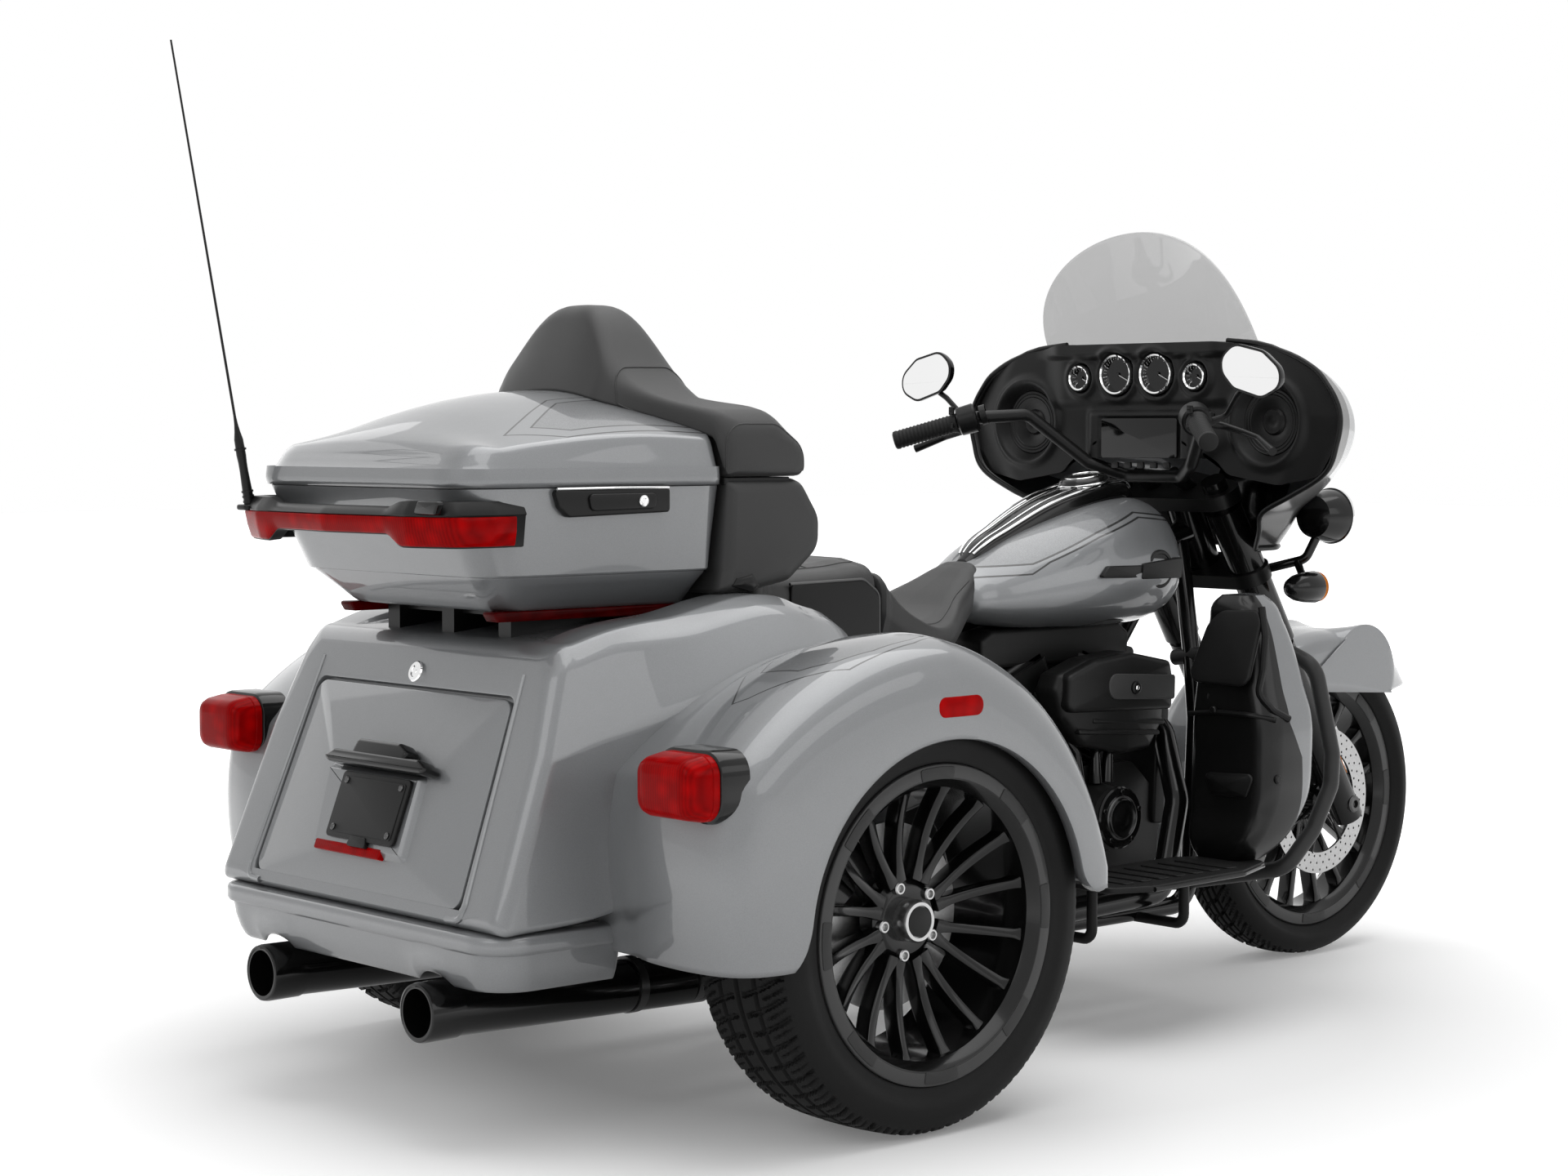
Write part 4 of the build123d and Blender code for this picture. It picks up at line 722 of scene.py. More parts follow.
skirt = {
    # height and how far the outline stands out there, from the band under the panel down
    "profile": ((343, -70), (342, -9), (340, -1), (338, 3), (333, 5), (318, 5), (313, 3),
                (311, -2), (306, -3), (290, -5), (270, -10), (258, -15), (254, -18)),
    "halfWidth": 384, "rear": -634, "front": -402, "corner": 66, "wall": 5, "tipY": 216,
    "scoop": 60, "tipZ": 212,
    "hood": {"out": 12, "wide": 46, "z": 276, "high": 20},
}


def skirtShape():
    # The outline runs round the back; the lower edge climbs over each exhaust tip along a
    # circle, and a soft hood swells out above it.
    rows, count, front, foot = [], 260, skirt["front"], skirt["profile"][-1][0]
    for z, out in skirt["profile"]:
        w, r = skirt["halfWidth"] + out, skirt["rear"] - out
        path = rounded([(front, w), (r, w), (r, -w), (front, -w)], skirt["corner"], 12,
                       closed=False)
        rows.append(np.insert(evenly(path, count), 2, z, 1))
    points = np.array(rows)
    across = abs(points[..., 1]) - skirt["tipY"]
    back = ease(points[..., 0], skirt["rear"] + 80, skirt["rear"] + 10)
    arch = skirt["tipZ"] + np.sqrt(np.maximum(skirt["scoop"]**2 - across**2, 0))
    low = foot + np.maximum(arch - foot, 0) * back
    high, hood = skirt["profile"][5][0], skirt["hood"]
    points[..., 2] = np.where(points[..., 2] > high, points[..., 2],
                              low + (points[..., 2] - foot) / (high - foot) * (high - low))
    points[..., 0] -= hood["out"] * back * hump(across, 0, hood["wide"]) * hump(
        points[..., 2], hood["z"], hood["high"])
    return grid(points, around=False)


piece("rearSkirt", [skirtShape()], "silver", "chassis", "rear_valance",
      wall=skirt["wall"], sharp=50)

fender = {
    # distance from the middle and how far the outline draws in there
    "crown": ((345, 30), (400, 27), (430, 25), (490, 8), (545, 1), (590, 0), (620, 3),
              (648, 9), (666, 18), (680, 32), (688, 46), (692, 60), (694, 76)),
    # the outline's marks from the front foot over the top: ahead and up, and how far each of
    # the two moves for every millimetre that the outline draws in
    "marks": ((361, 352, -0.4, 0), (361, 384, -0.4, 0), (262, 622, -0.7, -0.7), (6, 766, 0, -1),
              (-278, 698, 0.55, -0.8), (-440, 575, 1, -0.3), (-460, 430, 1, 0),
              (-438, 290, 1, 0)),
    "arch": 289, "centre": -4 + 322j, "wall": 6, "steps": 60,
    # the side from the outline to the arch: share of the way and distance from the middle
    "side": ((0.35, 695.5), (0.7, 695), (0.9, 694.5), (0.97, 694), (1, 691), (1, 688),
             (1, 684), (1, 676)),
    "archCorners": ((284, 80, -1), (346, 44, 1)),   # foot height, radius, rear or front
}


def moved(marks, inset):
    # Marks as complex numbers, ahead + up i, drawn in by an inset.
    return [(x + dx * inset) + (z + dz * inset) * 1j for x, z, dx, dz in marks]


def fenderOutline(inset, count):
    # Up the front, over the top and down the back, on arcs through the outline's marks.
    marks, t = moved(fender["marks"], inset), np.linspace(0, 1, fender["steps"])
    line = np.concatenate([marks[:1], arcThrough(*marks[1:4], t), arcThrough(*marks[3:6], t)[1:],
                           arcThrough(*marks[5:8], t[::3])[1:]])
    return evenly(flat(line), count)


def fenderSkin(side):
    # Rows follow the crown outwards, then the flat side runs in to the wheel arch and turns
    # under it; every row has its points at the same shares of the outline.
    run = travelled(fender["crown"])
    rows = []
    for y, inset in smooth(run, fender["crown"], np.linspace(0, run[-1], 44)):
        line = fenderOutline(inset, 150)
        rows.append(np.insert(line, 1, side * y, 1))
    outer, centre = line[:, 0] + 1j * line[:, 1], fender["centre"]
    about = outer - centre
    rim = centre + fender["arch"] * about / abs(about)
    # Below the wheel's centre the edge runs straight down.
    rim = np.where(rim.imag < centre.imag,
                   np.sign(about.real) * fender["arch"] + centre.real + 1j * outer.imag, rim)
    # Each lower corner of the arch is an arc: the edge moves away from the wheel there.
    for foot, radius, at in fender["archCorners"]:
        up = np.clip(rim.imag - foot, 0, radius)
        shift = radius - np.sqrt(radius**2 - (radius - up)**2)
        rim = rim + np.where(about.real * at > 0, at * shift, 0)
    for share, y in fender["side"]:
        rows.append(np.insert(flat(outer + (rim - outer) * share), 1, side * y, 1))
    return grid(np.array(rows), around=False)


stripe = {
    # the fender panel's edge and the line round it: ahead of the axle and outward from the middle
    "fender": ((-236, 515), (-150, 466), (60, 480), (60, 600), (-42, 631), (-120, 636),
               (-185, 622), (-229, 590)),
    "fenderLine": ((-325, 550), (-236, 480), (-150, 440), (70, 456), (60, 612), (-45, 645),
                   (-135, 652), (-200, 655), (-265, 630), (-305, 565)),
}


def insideOf(corners):
    # Seen from above, the largest of the signed distances to a convex outline's edges, less
    # than 0 inside; both sides of the vehicle are alike.
    def distance(w):
        u, v, _ = w.xyz()
        v, far = abs(v), None
        for (ax, ay), (bx, by) in zip(corners, corners[1:] + corners[:1]):
            length = np.hypot(bx - ax, by - ay)
            nx, ny = (by - ay) / length, -(bx - ax) / length
            edge = u * nx + v * ny - (nx * (ax + axleX) + ny * ay) * 0.001
            far = edge if far is None else far.above(edge)
        return far
    return distance


looks["fender"] = material("silverFender", lambda w: silver(
    w, insideOf(stripe["fender"]), insideOf(stripe["fenderLine"])))
for side, tag, low in twoSides:
    piece("rearFender" + tag, [fenderSkin(side)], "fender", "chassis",
          f"rear_fender_{low}", wall=fender["wall"], sharp=50)
print("luggage body and fenders")


# Wheels

wheels = {
    "rear": {"radius": 325.5, "width": 215, "lip": 246, "bead": 229, "rimWidth": 206,
             "faceHub": 38, "faceRim": 84, "hub": 67, "hubOut": 34, "bore": 20.2,
             "blocks": 62, "nuts": 5, "cap": 33},
    "front": {"radius": 319.5, "width": 130, "lip": 258, "bead": 241, "rimWidth": 100,
              "faceHub": 26, "faceRim": 30, "hub": 44, "hubOut": 40, "bore": 12.2,
              "blocks": 54, "nuts": 0, "cap": 26},
    "spokes": 8, "stem": 7, "spread": 37, "spokeWidth": 17, "spokeDepth": 32,
    # depths of the slanted, the short and the running grooves, and the running ones' places
    "slant": 6.5, "short": 4, "running": 7, "runningAt": (-0.5, 0, 0.5),
}


def tyreShape(w, centre):
    # A profile swung round the axle; tread grooves sink where the angle and the place across
    # the tread meet a slanted pattern, and three grooves run round.
    half, R, lip, bead = w["width"] / 2, w["radius"], w["lip"], w["bead"]
    high = R - bead
    seat = w["rimWidth"] / 2
    edge = [(seat - 13, bead + 0.6), (seat - 9.5, lip + 0.6),
            (seat - 3, lip + 1.2), (half - 6, lip + 0.18 * high),
            (half - 0.6, bead + 0.46 * high), (half, bead + 0.54 * high),
            (half - 3, bead + 0.7 * high), (half - 9, R - 0.17 * high),
            (half - 18, R - 0.075 * high), (half - 30, R - 0.03 * high)]
    wall = evenly(rounded(edge, 30, 4, closed=False), 22)
    inner = half - 30
    y = np.linspace(inner, -inner, 44)[1:-1]
    crown = np.c_[y, R - 0.03 * high * (y / inner)**2]
    inside = [(-half + 12, bead + 0.5 * high), (-inner, R - 13), (inner, R - 13),
              (half - 12, bead + 0.5 * high)]
    profile = np.concatenate([wall, crown, wall[::-1] * (-1, 1), inside])
    steps = 720
    points, faces = turned(profile, centre, steps=steps, loop=True)
    ring = points.reshape(len(profile), steps, 3)
    turn = np.linspace(0, 1, steps, endpoint=False)
    yy = profile[:, :1]
    tread = ease(profile[:, 1:], R - 0.16 * high, R - 0.07 * high)
    sway = turn * w["blocks"] + 0.9 * np.sign(yy) * (abs(yy) / inner)**1.4
    wave = abs((sway % 1) - 0.5)
    slots = (wave < 0.11) * (abs(yy) > 0.16 * inner) * (abs(yy) < 1.28 * inner)
    short = (abs((sway + 0.5) % 1 - 0.5) < 0.06) * (abs(yy) > 0.72 * inner)
    rounds = sum(abs(yy - c * inner) < 0.036 * inner + 1.2 for c in wheels["runningAt"]) > 0
    depth = np.maximum(slots * wheels["slant"], np.maximum(
        short * wheels["short"], rounds * wheels["running"])) * tread * (
            profile[:, 1:] > R - 0.4 * high)
    ring = ring - unit((ring - centre) * (1, 0, 1)) * depth[..., None]
    return ring.reshape(-1, 3), faces


def wheelShapes(w, centre, side):
    # A barrel, a dished set of paired spokes and a hub; side is the way the face looks.
    half, lip, bead = w["rimWidth"] / 2, w["lip"], w["bead"]
    barrel = rounded([(-half, lip), (-half + 8, lip), (-half + 12, bead), (0, bead - 8),
                      (half - 12, bead), (half - 8, lip), (half, lip), (half, bead - 6),
                      (half - 18, bead - 20), (-half + 20, bead - 20), (-half, bead - 6)],
                     3, 3)
    shapes = [turned(barrel * (side, 1), centre, steps=128, loop=True)]
    hub = rounded([(-6, w["bore"]), (w["hubOut"], w["bore"]), (w["hubOut"], w["hub"] - 14),
                   (w["hubOut"] - 10, w["hub"]), (w["faceHub"] - 30, w["hub"]), (-6, w["hub"])],
                  4, 3)
    shapes.append(turned(hub * (side, 1), centre, steps=96, loop=True))
    # Each spoke of a pair runs a little apart from the pair's centre line, and the dish
    # deepens slowly at first and steeply by the rim.
    t = np.linspace(0, 1, 16)
    r = w["hub"] - 6 + (bead - 13 - w["hub"] + 6) * t
    dish = w["faceHub"] + (w["faceRim"] - w["faceHub"]) * t**2.2
    width = wheels["spokeWidth"] * (1 + 1.2 * ease(t, 0.9, 1.0) + 0.5 * ease(t, 0.2, 0.0))
    section = rounded([(-0.5, 0), (0.5, 0), (0.42, -1), (-0.42, -1)], 0.14, 3)
    outward = np.array((0.0, side, 0.0))
    for angle in (np.arange(wheels["spokes"]) + 0.5) * 2 * pi / wheels["spokes"]:
        radial = np.array((cos(angle), 0, sin(angle)))
        tangent = np.array((-sin(angle), 0, cos(angle)))
        for hand in (-1, 1):
            apart = hand * (wheels["stem"] + wheels["spread"] * t)
            line = (centre + radial * r[:, None] + tangent * apart[:, None]
                    + outward * dish[:, None])
            rows = (line[:, None] + tangent * (section[None, :, :1] * width[:, None, None])
                    + outward * (section[None, :, 1:] * wheels["spokeDepth"]))
            shapes.append(grid(rows, caps=(True, True)))
    return shapes


def padShapes(w, centre, side):
    # Thin raised pads round the rim's face, one for each pair of spokes.
    shapes, origin = [], centre + (0, side * (w["rimWidth"] / 2 - 3), 0)
    for k in range(wheels["spokes"]):
        a = k * 2 * pi / wheels["spokes"] + 0.02 + np.linspace(-0.15, 0.15, 12)
        outline = np.concatenate([r * np.c_[np.cos(b), np.sin(b)] for r, b in (
            (w["bead"] - 6, a), (w["lip"] - 4, a[::-1]))])
        shapes.append(slab(outline * (-side, 1), 5, origin, (-side, 0, 0), (0, 0, 1), 4.4, 1, 3))
    return shapes


def rimLook(w, centre):
    # Black inside a radius about the axle, and dark grey on the flange outside it.
    def build(v):
        x, _, z = v.xyz()
        across, up = x - (centre[0] + axleX) * 0.001, z - centre[2] * 0.001
        flange = (across * across + up * up) > (w["bead"] * 0.001 - 0.004)**2
        out = blackGloss(0.004, 0.2)(v)
        out["Base Color"] = flange.mixed(out["Base Color"], grey(0.045))
        out["Roughness"] = flange.scaled(0.18, 0.4)
        return out
    return build


def discShape(centre, disc):
    # A flat ring made of cells, each with a drilled hole: a cell's outline shrinks to a circle.
    rings, holes, half = disc["rings"], disc["holes"], disc["thick"] / 2
    t = np.linspace(0, 2 * pi, 17)[:-1] + pi / 8
    circle = np.stack([np.cos(t), np.sin(t)], 1)
    square = circle / abs(circle).max(1, keepdims=True)
    edges = np.linspace(disc["inner"], disc["outer"], rings + 1)
    ring, cell = np.meshgrid(np.arange(rings), np.arange(holes), indexing="ij")
    midR = ((edges[:-1] + edges[1:]) / 2)[ring][..., None]
    halfR, halfA = (edges[1] - edges[0]) / 2, pi / holes
    midA = ((cell + 0.5 * (ring % 2)) * 2 * halfA)[..., None]

    def spot(u, v):
        r, a = midR + halfR * u, midA + halfA * v
        return np.stack([r * np.cos(a), r * np.sin(a)], -1)
    border = spot(*square.T)
    size = 0.34 * np.minimum(halfR, halfA * midR)
    hole = spot(circle[:, 0] * size / halfR, circle[:, 1] * size / (halfA * midR))
    loops = ((border, half), (hole, half), (hole, -half), (border, -half))
    stack = np.stack([np.insert(points, 1, y, -1) for points, y in loops], 2) + centre
    return [grid(loop) for row in stack for loop in row]


axle = {"rearY": 553, "frontX": 1675, "bolt": ((0, 0), (0, 10), (8, 10), (10, 8.5), (10, 6),
                                               (4, 5), (4, 0)), "boltCircle": 55,
        "boltTurn": 41, "barrel": ((-84, 12.2), (84, 12.2), (84, 24), (74, 33.6), (-74, 33.6),
                                   (-84, 24))}
w = wheels["rear"]
looks["rearRim"] = material("rearRim", rimLook(w, (0, 0, w["radius"])))
for side, tag, low in twoSides:
    centre, body = np.array((0, side * axle["rearY"], w["radius"])), f"rear_wheel_{low}"
    outward = (0, side, 0)
    piece("rearTyre" + tag, [tyreShape(w, centre)], "rubber", body, f"rear_tyre_{low}")
    piece("rearWheel" + tag, wheelShapes(w, centre, side), "rearRim", body,
          f"rear_rim_{low}")
    piece("rimPads" + tag, padShapes(w, centre, side), "lightGrey", body)
    around = np.arange(w["nuts"]) * 2 * pi / w["nuts"] + radians(axle["boltTurn"])
    piece("lugNuts" + tag, [
        turned(axle["bolt"], centre + (axle["boltCircle"] * cos(a), side * (w["hubOut"] - 3),
                                       axle["boltCircle"] * sin(a)), outward, 24)
        for a in around], "alloy", body)
    hubFace, cap = centre + (0, side * (w["hubOut"] - 2), 0), w["cap"]
    piece("hubCap" + tag, [turned([(0, 0), (0, cap), (24, cap), (29, 30), (29, 25), (27, 24),
                                   (27, 0)], hubFace, outward, 72)],
          "alloy", body)
    piece("hubCapFace" + tag, [turned([(25, 0), (25, 23.5), (28.6, 23.5), (29.4, 21), (29.4, 0)],
                                      hubFace, outward, 64)], "satin", body)

w = wheels["front"]
centre = np.array((axle["frontX"], 0, w["radius"]))
piece("frontTyre", [tyreShape(w, centre)], "rubber", "front_wheel", "front_tyre")
looks["frontRim"] = material("frontRim", rimLook(w, centre))
piece("frontWheel", [*wheelShapes(w, centre, -1),
                     turned(rounded(axle["barrel"], 4, 3), centre, loop=True)],
      "frontRim", "front_wheel", "front_rim")
piece("frontRimPads", padShapes(w, centre, -1) + padShapes(w, centre, 1), "lightGrey",
      "front_wheel")
disc = {
    "y": 66, "outer": 150, "inner": 108, "thick": 5, "rings": 3, "holes": 40, "arms": 7,
    # a carrier arm from the hub to the disc: distance from the axle and turn
    "arm": ((32, 0.0), (70, 0.06), (110, 0.0)), "armSize": ((0, 4), (0.5, 3), (1, 4)),
}
piece("frontDiscs", [ring for side in (-1, 1) for ring in discShape(
    centre + (0, side * disc["y"], 0), disc)], "disc", "front_wheel",
      "front_brake_discs")
carriers = []
for side in (-1, 1):
    for a in np.arange(disc["arms"]) * 2 * pi / disc["arms"]:
        run = [centre + (r * cos(a + s), side * disc["y"], r * sin(a + s))
               for r, s in disc["arm"]]
        carriers.append(bar(run, disc["armSize"], 40, 10, 5))
piece("discCarriers", carriers, "wheelBlack", "front_wheel")
print("wheels")

# The top case, its lid and lamps
case = {
    # height, rear x, front x, half width, corner radius; the chin is set in under a crease
    "body": ((800, -486, -133, 204, 42), (801, -490, -129, 208, 46), (806, -498, -125, 214, 50),
             (851, -543, -118, 260, 58), (854, -545, -118, 262, 58), (855.5, -551, -117, 267, 60),
             (858, -553, -116, 269, 60), (988, -613.5, -107, 284, 66)),
    "wall": 7, "floor": 808,
    # x, height of the lid's shoulder there, height of the crown
    "lid": ((-620, 1010, 1014), (-594, 1038, 1046), (-520, 1050, 1090), (-420, 1061, 1122),
            (-330, 1068, 1136), (-256, 1070, 1139), (-107, 1064, 1128)),
    # the lid's outline: rear x, front x, half width, corner radius
    "plan": (-614, -107, 284, 66), "shoulder": (-584, -112, 261, 58),
    # its lip: how far in and the height; and its wall above that: how far in and the share of
    # the rise from the foot to the shoulder
    "lidLip": ((-4.5, 989.8), (-5.5, 998.9), (-5.5, 1005.4), (-4.5, 1018.4)), "lidFoot": 1009,
    "lidWall": ((-1, 0.02), (0, 0.05), (6, 0.4), (12, 0.75), (15, 0.88), (18, 0.96)),
    # the crown's rings shrink to its middle; across it the height is the shoulder's at margin
    "crown": (1, 0.97, 0.93, 0.86, 0.76, 0.62, 0.46, 0.3, 0.14), "middle": (-330, 0),
    "margin": 262, "count": 216,
    "seal": ((986, 9), (986, 2), (990.5, 2), (990.5, 9)),       # height and how far in
}


def planRing(rear, front, half, corner):
    loop = rounded(box(rear, -half, front, half),
                   (corner, corner * 0.5, corner * 0.5, corner), 8)
    return evenly(loop, case["count"], closed=True)


def caseRing(row, inset=0):
    z, rear, front, half, corner = row
    return np.insert(planRing(rear + inset, front - inset, half - inset, corner - 0.6 * inset),
                     2, z, 1)


def caseShape():
    rows = [caseRing(row) for row in case["body"]]
    top, wall = case["body"][-1], case["wall"]
    rows += [caseRing((989, *top[1:]), 1), caseRing((989, *top[1:]), wall - 1),
             caseRing((987, *top[1:]), wall), caseRing((862, *case["body"][-2][1:]), wall),
             caseRing((case["floor"], *case["body"][2][1:]), wall)]
    return grid(np.array(rows), caps=(True, True))


def lidHeight(x, y):
    # Between the crown and the shoulder the height falls with the square of the way across.
    keys, side, crown = np.array(case["lid"]).T
    x = np.clip(x, keys[0], keys[-1])
    low, high = smooth(keys, side, x), smooth(keys, crown, x)
    return high - (high - low) * np.clip(abs(y) / case["margin"], 0, 1.05)**2


def lidShape():
    keys, side, _ = np.array(case["lid"]).T
    rear, front, half, corner = case["plan"]

    def ring(inset):
        return planRing(rear + 1.35 * inset, front - 0.2 * inset, half - inset,
                        corner - 0.4 * inset)
    rows = [np.insert(ring(inset), 2, z, 1) for inset, z in case["lidLip"]]
    for inset, share in case["lidWall"]:
        loop = ring(inset)
        high = smooth(keys, side, np.clip(loop[:, 0], keys[0], keys[-1]))
        rows.append(np.c_[loop, case["lidFoot"] + (high - case["lidFoot"]) * share])
    middle = np.array(case["middle"], float)
    for scale in (*case["crown"], 0):
        loop = middle + (planRing(*case["shoulder"]) - middle) * scale
        rows.append(np.c_[loop, lidHeight(loop[:, 0], loop[:, 1])])
    return grid(np.array(rows))


stripe["lid"] = ((-436, 214), (-330, 138), (-100, 112), (-100, 232), (-380, 240))
stripe["lidLine"] = ((-492, 222), (-335, 120), (-100, 92), (-100, 250), (-400, 258))
looks["lid"] = material("silverLid", lambda w: silver(
    w, insideOf(stripe["lid"]), insideOf(stripe["lidLine"])))
piece("caseBody", [caseShape()], "silver", "chassis", "top_case_body",
      sharp=28)
piece("caseLid", [lidShape()], "lid", "top_case_lid", "top_case_lid",
      wall=case["wall"], sharp=40)
piece("caseSeal", [grid(np.array([caseRing((z, *case["plan"]), inset)
                                  for z, inset in case["seal"]]), along=True)],
      "plastic", "top_case_lid")

lampBar = {
    # the lower and the upper edge, from the right to the middle of the rear
    "low": ((-498, -281), (-562, -291), (-626, -284), (-654, -205), (-670, 0)),
    "high": ((-498, -287), (-562, -297), (-638, -287), (-663, -205), (-676, 0)),
    "ends": 904, "middle": 922, "top": 948, "step": (146, 186),
    # rows of the lens and of its bed: share of the height, and how far in from the outline
    "lens": ((0, -17), (0, -3), (0.03, -1), (0.08, 0), (0.5, 1.2), (0.93, 0), (0.98, -1),
             (1, -3), (1, -17)),
    "bed": ((0, -24), (-0.03, -6), (0.0, -3), (1, -3), (1.06, -1), (1.22, -4), (1.5, -13),
            (1.52, -28)),
    "notch": ((-30, 0), (26, 0), (36, 20), (-16, 20)), "notchAt": (-642, -246, 952),
    "side": ((-496, 785), (-146, 785), (-136, 800.5), (-506, 800.5)),
}


def wholeLine(half):
    # Lines (..., points, 2) from one side to the middle, carried on to the other side.
    half = np.array(half, float)
    return np.concatenate([half, half[..., -2::-1, :] * (1, -1)], -2)


def lampRows(rows, trim=0, lift=0):
    low, high = wholeLine([lampBar["low"], lampBar["high"]])
    made = []
    for share, inset in rows:
        line = rounded(low + (high - low) * min(share, 1), 34, 6, closed=False)
        line = evenly(line, 240)[trim:240 - trim]
        line = line - unit(np.gradient(line, axis=0)[:, ::-1] * (1, -1)) * inset
        foot = lampBar["middle"] + (lampBar["ends"] - lampBar["middle"]) * ease(
            abs(line[:, 1]), *lampBar["step"]) - lift
        made.append(np.c_[line, foot + (lampBar["top"] - foot) * share])
    return np.array(made)


def closedStrip(sheet):
    # A strip closed round its rows, with a face across each end.
    ends = [(sheet[:, end], [list(range(len(sheet)))]) for end in (0, -1)]
    return [grid(sheet, around=False, along=True), *ends]


piece("caseLamp", closedStrip(lampRows(lampBar["lens"], trim=6)), "red", "chassis",
      "top_case_lamp", sharp=40)
piece("lampBed", closedStrip(lampRows(lampBar["bed"], lift=1)), "satin", "chassis",
      sharp=40)
piece("lampNotch", [slab(lampBar["notch"], 4, lampBar["notchAt"], *fromBehind, 14, 3)], "gloss",
      "chassis")
piece("caseSideLamps", bothSides(
    slab(lampBar["side"], 4, (0, -178, 0), *fromRight, 33, 3, 5)), "darkRed", "chassis",
      "case_side_lamps")

latch = {
    "y": -287, "outline": ((-452, 986), (-440, 958), (-424, 944), (-228, 949), (-228, 986)),
    "radii": (6, 14, 10, 6, 5), "handle": ((-391, 979), (-384, 953), (-262, 955), (-256, 979)),
    # a trim line along the top, out from y, and a key ring
    "trim": ((-446, -5, 987), (-340, -6.5, 987.5), (-230, -5, 987)),
    "ring": ((0, 0), (0, 9), (2.5, 9), (3.5, 7.5), (3.2, 5), (2, 4), (2, 0)),
    "ringAt": (-286, -12, 967),
}
fromLatch = np.array((0, latch["y"], 0))
piece("caseLatch", [
    slab(latch["outline"], latch["radii"], fromLatch + (0, 8, 0), *fromRight, 15, 3, 5),
    slab(latch["handle"], 8, fromLatch + (0, -5, 0), *fromRight, 7, 2, 5)],
      "satin", "chassis", "top_case_latch")
piece("latchTrim", [bar(fromLatch + latch["trim"], 2.2, 20, 10),
                    turned(latch["ring"], fromLatch + latch["ringAt"], toRight, 28)],
      "chrome", "chassis")

mast = {
    "foot": (-638, 260, 949), "tip": (-772, 260, 1679), "rings": (12, 20, 28, 96),
    # share of the length and the radius there
    "sizes": ((0, 9), (0.10, 6.4), (0.105, 8), (0.16, 7), (0.17, 4.5), (0.19, 2.6), (0.2, 2.2),
              (1, 1.6)),
}
foot, tip = (np.array(mast[k], float) for k in ("foot", "tip"))
run = unit(tip - foot)
piece("antenna", [
    tube(foot + (tip - foot) * np.linspace(0, 1, 60)[:, None], mast["sizes"], 14),
    slab(box(-656, 244, -612, 277), 8, (0, 0, 948), *fromAbove, 9, 3),
    *[turned([(0, 7), (0, 9.6), (3, 9.6), (3, 7)], foot + run * d, run, 20, loop=True)
      for d in mast["rings"]]], "satin", "chassis", "antenna")
print("top case")

# Pads and seats: sections across the vehicle, shrunk towards both ends
pads = {
    "half": 289, "front": 66, "face": -22, "lowerFront": 98,
    "rearLip": (-252, -110), "hump": (1090, 188, 132), "rows": 96,
    "ends": ((0, 26), (2.5, 15), (6, 8), (12, 3), (22, 0)),
    # a plate between the two pads, seen from above, and a vent under each end
    "strip": ((-104, -278), (34, -278), (34, -246), (-48, -200), (-48, 200), (34, 246),
              (34, 278), (-104, 278)),
    "vent": ((-98, 818), (-50, 818), (-34, 838), (-60, 850), (-98, 840)),
    # the upper pad's seams: share of its width and how far each leans; and those by its ends
    "seams": ((0.185, 0.075), (0.815, -0.075)), "endSeams": (0.022, 0.978),
}


def acrossSheet(corners, radii):
    # corners(a) gives the loop (n, 2) in x and z at a distance a from the middle.
    half, (far, insets) = pads["half"], np.array(pads["ends"]).T
    y = np.concatenate([far[:-1] - half, half - far[-2::-1], np.linspace(
        far[-1] - half, half - far[-1], pads["rows"])])
    y.sort()
    rings = np.array([rounded(corners(abs(v)), radii, 6) for v in y])
    inset = np.interp(half - abs(y), far, insets)
    middle = rings.mean(1, keepdims=True)
    arm = rings - middle
    length = np.maximum(np.linalg.norm(arm, axis=-1, keepdims=True), 1e-6)
    rings = middle + arm * np.maximum(1 - inset[:, None, None] / length, 0.05)
    return np.stack([rings[..., 0], np.broadcast_to(y[:, None], rings.shape[:2]),
                     rings[..., 1]], -1)


def upperPad(a):
    low, rise, wide = pads["hump"]
    bell = 1 / (1 + (a / wide)**3.4)
    top = low + rise * bell - 14 * ease(a, 250, 289)
    lip = pads["rearLip"][0] + (pads["rearLip"][1] - pads["rearLip"][0]) * ease(a, 118, 282)
    gone = ease(a, 262, 285)
    seat = lidHeight(-107.0, a) * (1 - gone) + 1003 * gone - 2
    rear = lidHeight(lip, a) * (1 - gone) + 1003 * gone - 2
    front = pads["face"] + (pads["front"] - pads["face"]) * ease(a, 192, 236)
    back = -198 * bell + (lip + 6) * (1 - bell)
    face = -118 * bell + (front - 52) * (1 - bell)
    shin = 1044 + 60 * bell
    return np.array([(-104, 1001), (-104, seat), (lip, rear), (back, top), (face, top),
                     (front, shin), (front, 1001)])


def lowerPad(a):
    front = pads["face"] + (pads["lowerFront"] - pads["face"]) * ease(a, 196, 240)
    wing = ease(a, 196, 240)
    return np.array([(-114, 850), (-103.5, 998), (front - 16 - 26 * wing, 998), (front, 938),
                     (front, 885), (front - 10 - 56 * wing, 832), (-60, 817), (-122, 817)])


def spots(sheet, rowShare, columnShare):
    # Points of a sheet at shares of its rows and columns; one of the two may be one number.
    rows, columns = np.broadcast_arrays(rowShare * (sheet.shape[0] - 1),
                                        columnShare * (sheet.shape[1] - 1))
    r, c = np.floor(rows).astype(int), np.floor(columns).astype(int)
    r1, c1 = np.minimum(r + 1, sheet.shape[0] - 1), np.minimum(c + 1, sheet.shape[1] - 1)
    u, v = (rows - r)[:, None], (columns - c)[:, None]
    return ((sheet[r, c] * (1 - u) + sheet[r1, c] * u) * (1 - v)
            + (sheet[r, c1] * (1 - u) + sheet[r1, c1] * u) * v)


